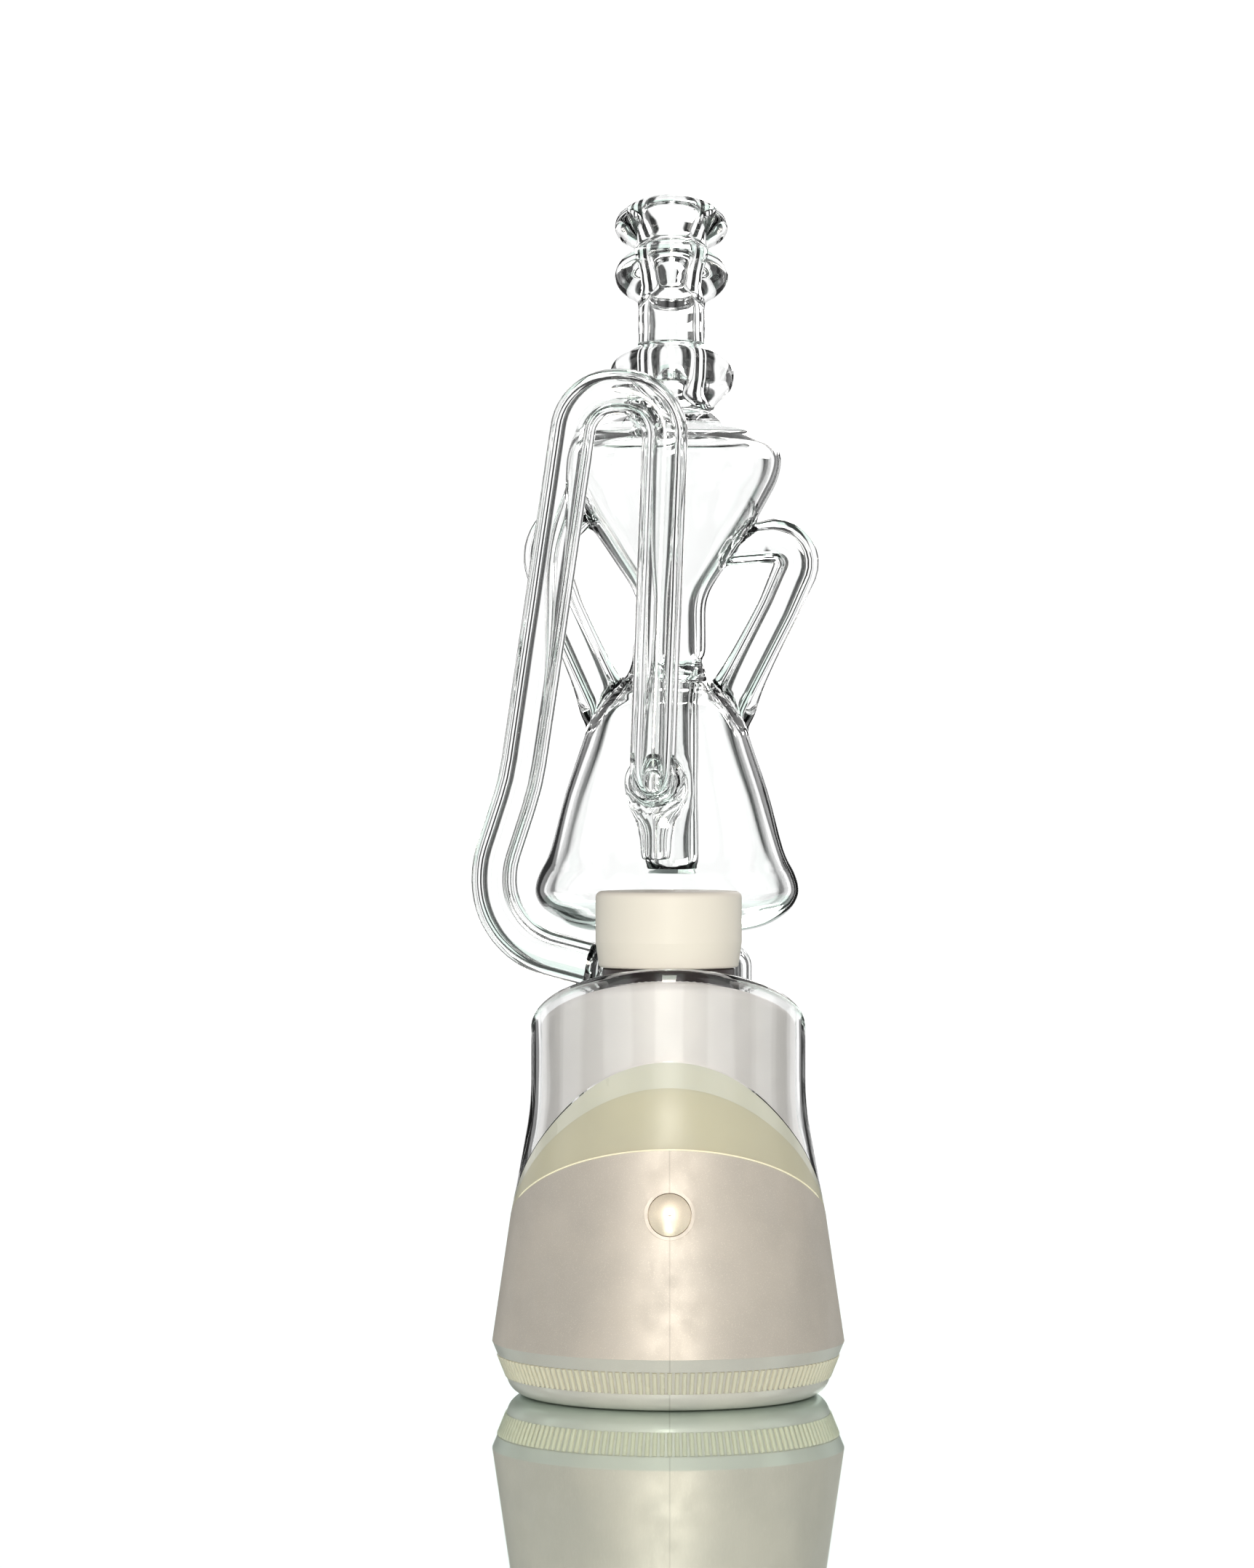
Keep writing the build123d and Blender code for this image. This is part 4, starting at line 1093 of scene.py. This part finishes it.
    def inner_tubes(self) -> tuple[list[bpy.types.Object], list[bpy.types.Object]]:
        """Drain tube and nozzle inside the can.

        Returns:
            Their solids, and their bores.
        """
        drain = self.lathe("drain", (
            (3.7, 103.0), (5.0, 103.0), (5.5, 103.6), (5.5, 110.0), (5.5, 130.0), (5.5, 139.0), (6.2, 142.5),
            (7.0, 144.8)), upright(self.axis_x, self.axis_y), 2)
        drain_bore = self.lathe("drain_bore", (
            (3.7, 101.0), (3.7, 110.0), (3.7, 130.0), (3.7, 139.0), (4.4, 143.0), (5.0, 147.0)),
            upright(self.axis_x, self.axis_y), 2)
        nozzle = self.lathe("nozzle", (
            (2.0, 105.2), (2.7, 105.4), (3.0, 107.0), (3.2, 110.0), (3.8, 114.0), (4.9, 117.4), (5.5, 120.0),
            (5.2, 122.6), (3.6, 124.6), (1.5, 125.3)), upright(-2.3, 19.4))
        nozzle_bore = self.lathe("nozzle_bore", (
            (1.5, 103.0), (1.5, 110.0), (1.9, 113.0), (2.8, 116.5), (3.3, 119.6), (2.9, 121.6), (1.4, 123.0)),
            upright(-2.3, 19.4))
        link_route = [(-2.5, 9.0, 121.2), (-2.4, 14.0, 121.2), (-2.3, 19.4, 121.2)]
        link = self.tubes.tube("link", link_route, self.intake_bore)
        return [drain, nozzle], [drain_bore, nozzle_bore, link]

    def build(self) -> bpy.types.Object:
        """Make the fused glass.

        Returns:
            The finished piece.
        """
        body = combine(self.outer(), "DIFFERENCE", *self.hollows())
        solids, bores = self.inner_tubes()
        combine(body, "UNION", *solids)
        combine(body, "DIFFERENCE", *bores)
        soften(body, self.weld_crease, self.weld_reach, self.weld_rounds)
        polish(body, Paint.GLASS, 60.0)
        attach(body, "glass")
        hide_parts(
            "can", "drain_neck", "drain_tube", "funnel", "neck_cone", "ring_low", "neck_stem", "ring_mid",
            "mouth_tube", "mouth_lip", "arm_left", "arm_right", "intake_elbow", "intake_riser", "intake_arch",
            "intake_drop", "loop_brace", "weld_collar", "nozzle", "can_post")
        report(body)
        return body


@dataclass
class Bell:
    """The glass sleeve that slips over the tower, with its hump."""

    frame: dict

    def dress(self) -> None:
        """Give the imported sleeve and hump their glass."""
        for name in ("glass_bell", "bell_hump"):
            paint_node(self.frame, name, Paint.GLASS)


@dataclass
class BaseBody:
    """The moulded base: shells, window, button, flutes and what is inside."""

    frame: dict
    ribs: int = 144
    rib_band_low: float = 3.7
    rib_band_high: float = 7.9
    band_radius_low: float = 31.95
    band_radius_high: float = 33.65
    rib_radius: float = 0.46
    corner_radius: float = 35.0
    corner_height: float = 10.5
    shell_taper: float = 0.147
    edge_rear_height: float = 35.0
    edge_slope: float = 0.53
    edge_line_radius: float = 0.16

    def flutes(self, tool: RibTool) -> bpy.types.Object:
        """Ribs of the fluted band.

        Args:
            tool: The node tool that sets them round.

        Returns:
            The ribs as one piece.
        """
        seed = new_object("flutes", bpy.data.meshes.new("flutes"))
        lean = math.atan2(self.band_radius_high - self.band_radius_low, self.rib_band_high - self.rib_band_low)
        piece = tool.run(seed, {
            "Ribs": self.ribs,
            "Band Radius": (self.band_radius_low + self.band_radius_high) / 2 * MM,
            "Band Height": (self.rib_band_low + self.rib_band_high) / 2 * MM,
            "Rib Length": (self.rib_band_high - self.rib_band_low) / math.cos(lean) * MM,
            "Rib Radius": self.rib_radius * MM,
            "Lean": lean,
        })
        piece.data.polygons.foreach_set("use_smooth", [True] * len(piece.data.polygons))
        piece.data.set_sharp_from_angle(angle=math.radians(40))
        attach(piece, "base")
        report(piece)
        return piece

    def lit_edge(self, tubes: TubeTool) -> bpy.types.Object:
        """Thin glowing line, painted light where light leaves the lower shell's top edge.

        Args:
            tubes: The node tool that makes the line.

        Returns:
            The line.
        """
        route = []
        for point in (vert.co / MM for vert in self.frame["nodes"]["lower_shell"].data.vertices):
            height = self.edge_rear_height - self.edge_slope * point.y
            outer = self.corner_radius - self.shell_taper * (point.z - self.corner_height)
            level = Vector((point.x, point.y)).length
            if point.y < -8 and abs(point.z - height) < 0.03 and abs(level - outer) < 0.03:
                route.append(tuple(point))
        route = sorted({tuple(round(value, 2) for value in point) for point in route})
        even = [route[0]]
        for point in route[1:]:
            if (Vector(point) - Vector(even[-1])).length > 1.0:
                even.append(point)
        ends = [0.03] + [self.edge_line_radius] * (len(even) - 2) + [0.03]
        piece = tubes.tube("lit_edge", even, ends, steps=2, sides=10)
        polish(piece, Paint.PAINTED_EDGE_GLOW)
        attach(piece, "base")
        report(piece)
        return piece

    def dress(self) -> None:
        """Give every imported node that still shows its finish."""
        for name, paint in NODE_PAINT.items():
            paint_node(self.frame, name, paint)


@dataclass
class Studio:
    """Pale mirroring table, a ring of bright panels, four soft lamps and the camera."""

    table_radius: float = 0.48
    lens: float = 111.87
    sensor: float = 36.0
    eye: tuple[float, float, float] = (-0.0082, -0.969, 0.121)
    panel_count: int = 8
    panel_top: float = 42.0
    panel_half_width: float = 10.0
    panel_fade: float = 4.0
    dim: float = 0.03
    bright: float = 1.15

    def table(self) -> bpy.types.Object:
        """Pale table top that mirrors the panels.

        Returns:
            The table top.
        """
        mesh = bmesh.new()
        bmesh.ops.create_circle(mesh, cap_ends=True, segments=256, radius=self.table_radius)
        data = bpy.data.meshes.new("table_top")
        mesh.to_mesh(data)
        mesh.free()
        data.transform(Matrix.Translation((0, 0, -0.0001)))
        piece = new_object("table_top", data)
        material = bpy.data.materials.new("pale_table")
        material.use_nodes = True
        graph = Graph(material.node_tree)
        cloud = graph.noise(6.0).between(CLOUD_LOW, CLOUD_HIGH)
        colour = graph.mix(cloud, rgb(0.82, 0.96, 0.90), rgb(0.83, 0.97, 0.91))
        shader = graph.add("ShaderNodeBsdfPrincipled", {}, {
            "Base Color": colour, "Roughness": 0.03, "Metallic": 0.94}).source.node
        graph.add("ShaderNodeOutputMaterial", {}, {"Surface": shader.outputs[0]})
        data.materials.append(material)
        return piece

    def surroundings(self) -> None:
        """World light: an even ring of equal bright panels, dim between and above them."""
        world = bpy.data.worlds.new("studio")
        bpy.context.scene.world = world
        world.use_nodes = True
        graph = Graph(world.node_tree)
        direction = graph.add("ShaderNodeTexCoord", output="Generated")
        parts = {axis: graph.add("ShaderNodeSeparateXYZ", {}, {"Vector": direction}, axis) for axis in "XYZ"}
        level = (parts["X"] * parts["X"] + parts["Y"] * parts["Y"]).power(0.5).highest(1e-4)
        glow = level * 0.0
        inner = math.cos(math.radians(self.panel_half_width))
        outer = math.cos(math.radians(self.panel_half_width + self.panel_fade))
        low, high = math.sin(math.radians(self.panel_top)), math.sin(math.radians(self.panel_top + 7.0))
        for index in range(self.panel_count):
            turn = math.tau * index / self.panel_count
            facing = (parts["X"] * math.cos(turn) + parts["Y"] * math.sin(turn)) / level
            panel = facing.between(outer, inner) * parts["Z"].between(low, high, 1.0, 0.0)
            glow = panel.highest(glow)
        share = glow * (1 - self.dim) + self.dim
        colour = graph.mix(share, rgb(0.0, 0.0, 0.0), rgb(1.0, 1.0, 1.0))
        back = graph.add("ShaderNodeBackground", {}, {"Color": colour, "Strength": self.bright})
        graph.add("ShaderNodeOutputWorld", {}, {"Surface": back})

    @staticmethod
    def lamp(
        name: str, place: Sequence[float], size: tuple[float, float], power: float, colour: Sequence[float],
        aim: Sequence[float] = (0.0, 0.0, 0.06),
    ) -> None:
        """Soft rectangular lamp.

        Args:
            name: The lamp's name.
            place: Where it stands, in metres.
            size: Width and height.
            power: Watts.
            colour: Its colour.
            aim: The point it faces.
        """
        data = bpy.data.lights.new(name, "AREA")
        data.shape, data.size, data.size_y, data.energy, data.color = "RECTANGLE", *size, power, colour
        made = bpy.data.objects.new(name, data)
        made.location = place
        made.rotation_euler = (Vector(aim) - Vector(place)).to_track_quat("-Z", "Y").to_euler()
        bpy.context.scene.collection.objects.link(made)

    def camera(self) -> None:
        """Level camera in front."""
        data = bpy.data.cameras.new("camera")
        data.lens, data.sensor_width = self.lens, self.sensor
        data.clip_start, data.clip_end = 0.05, 50.0
        made = bpy.data.objects.new("camera", data)
        made.location = self.eye
        made.rotation_euler = (math.radians(90), 0, 0)
        bpy.context.scene.collection.objects.link(made)
        bpy.context.scene.camera = made
        bpy.context.scene.view_settings.view_transform = "Standard"

    def build(self) -> None:
        """Set the stage."""
        self.table()
        self.surroundings()
        self.lamp("front_soft", (0.0, -1.3, 0.34), (0.26, 0.5), 10.5, (1.0, 0.95, 0.87))
        self.lamp("rear_fill", (0.3, 1.2, 0.6), (0.5, 0.5), 4.0, (1.0, 0.98, 0.96))
        self.lamp("left_fill", (-1.2, 0.1, 0.5), (0.3, 0.5), 0.8, (0.97, 1.0, 0.99))
        self.lamp("right_fill", (1.1, -0.3, 0.5), (0.3, 0.5), 0.8, (1.0, 0.97, 0.92))
        self.camera()


def report(piece: bpy.types.Object) -> None:
    """Log a finished piece.

    Args:
        piece: The piece.
    """
    piece.data.update()
    LOG.info("%s: %d faces, %d points", piece.name, len(piece.data.polygons), len(piece.data.vertices))


def paint_node(frame: dict, name: str, paint: Paint) -> None:
    """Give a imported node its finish.

    Args:
        name: The node.
        paint: Its finish.
    """
    data = frame["nodes"][name].data
    data.materials.clear()
    data.materials.append(paint.get())
    LOG.info("%s: %s", name, paint.value.name)


def main() -> None:
    """Build, dress and light everything."""
    logging.basicConfig(level=logging.INFO, format="%(name)s %(message)s")
    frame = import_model()
    tubes = TubeTool()
    Recycler(tubes).build()
    Bell(frame).dress()
    base = BaseBody(frame)
    base.flutes(RibTool())
    base.lit_edge(tubes)
    base.dress()
    Studio().build()


if __name__ == "__main__":
    main()
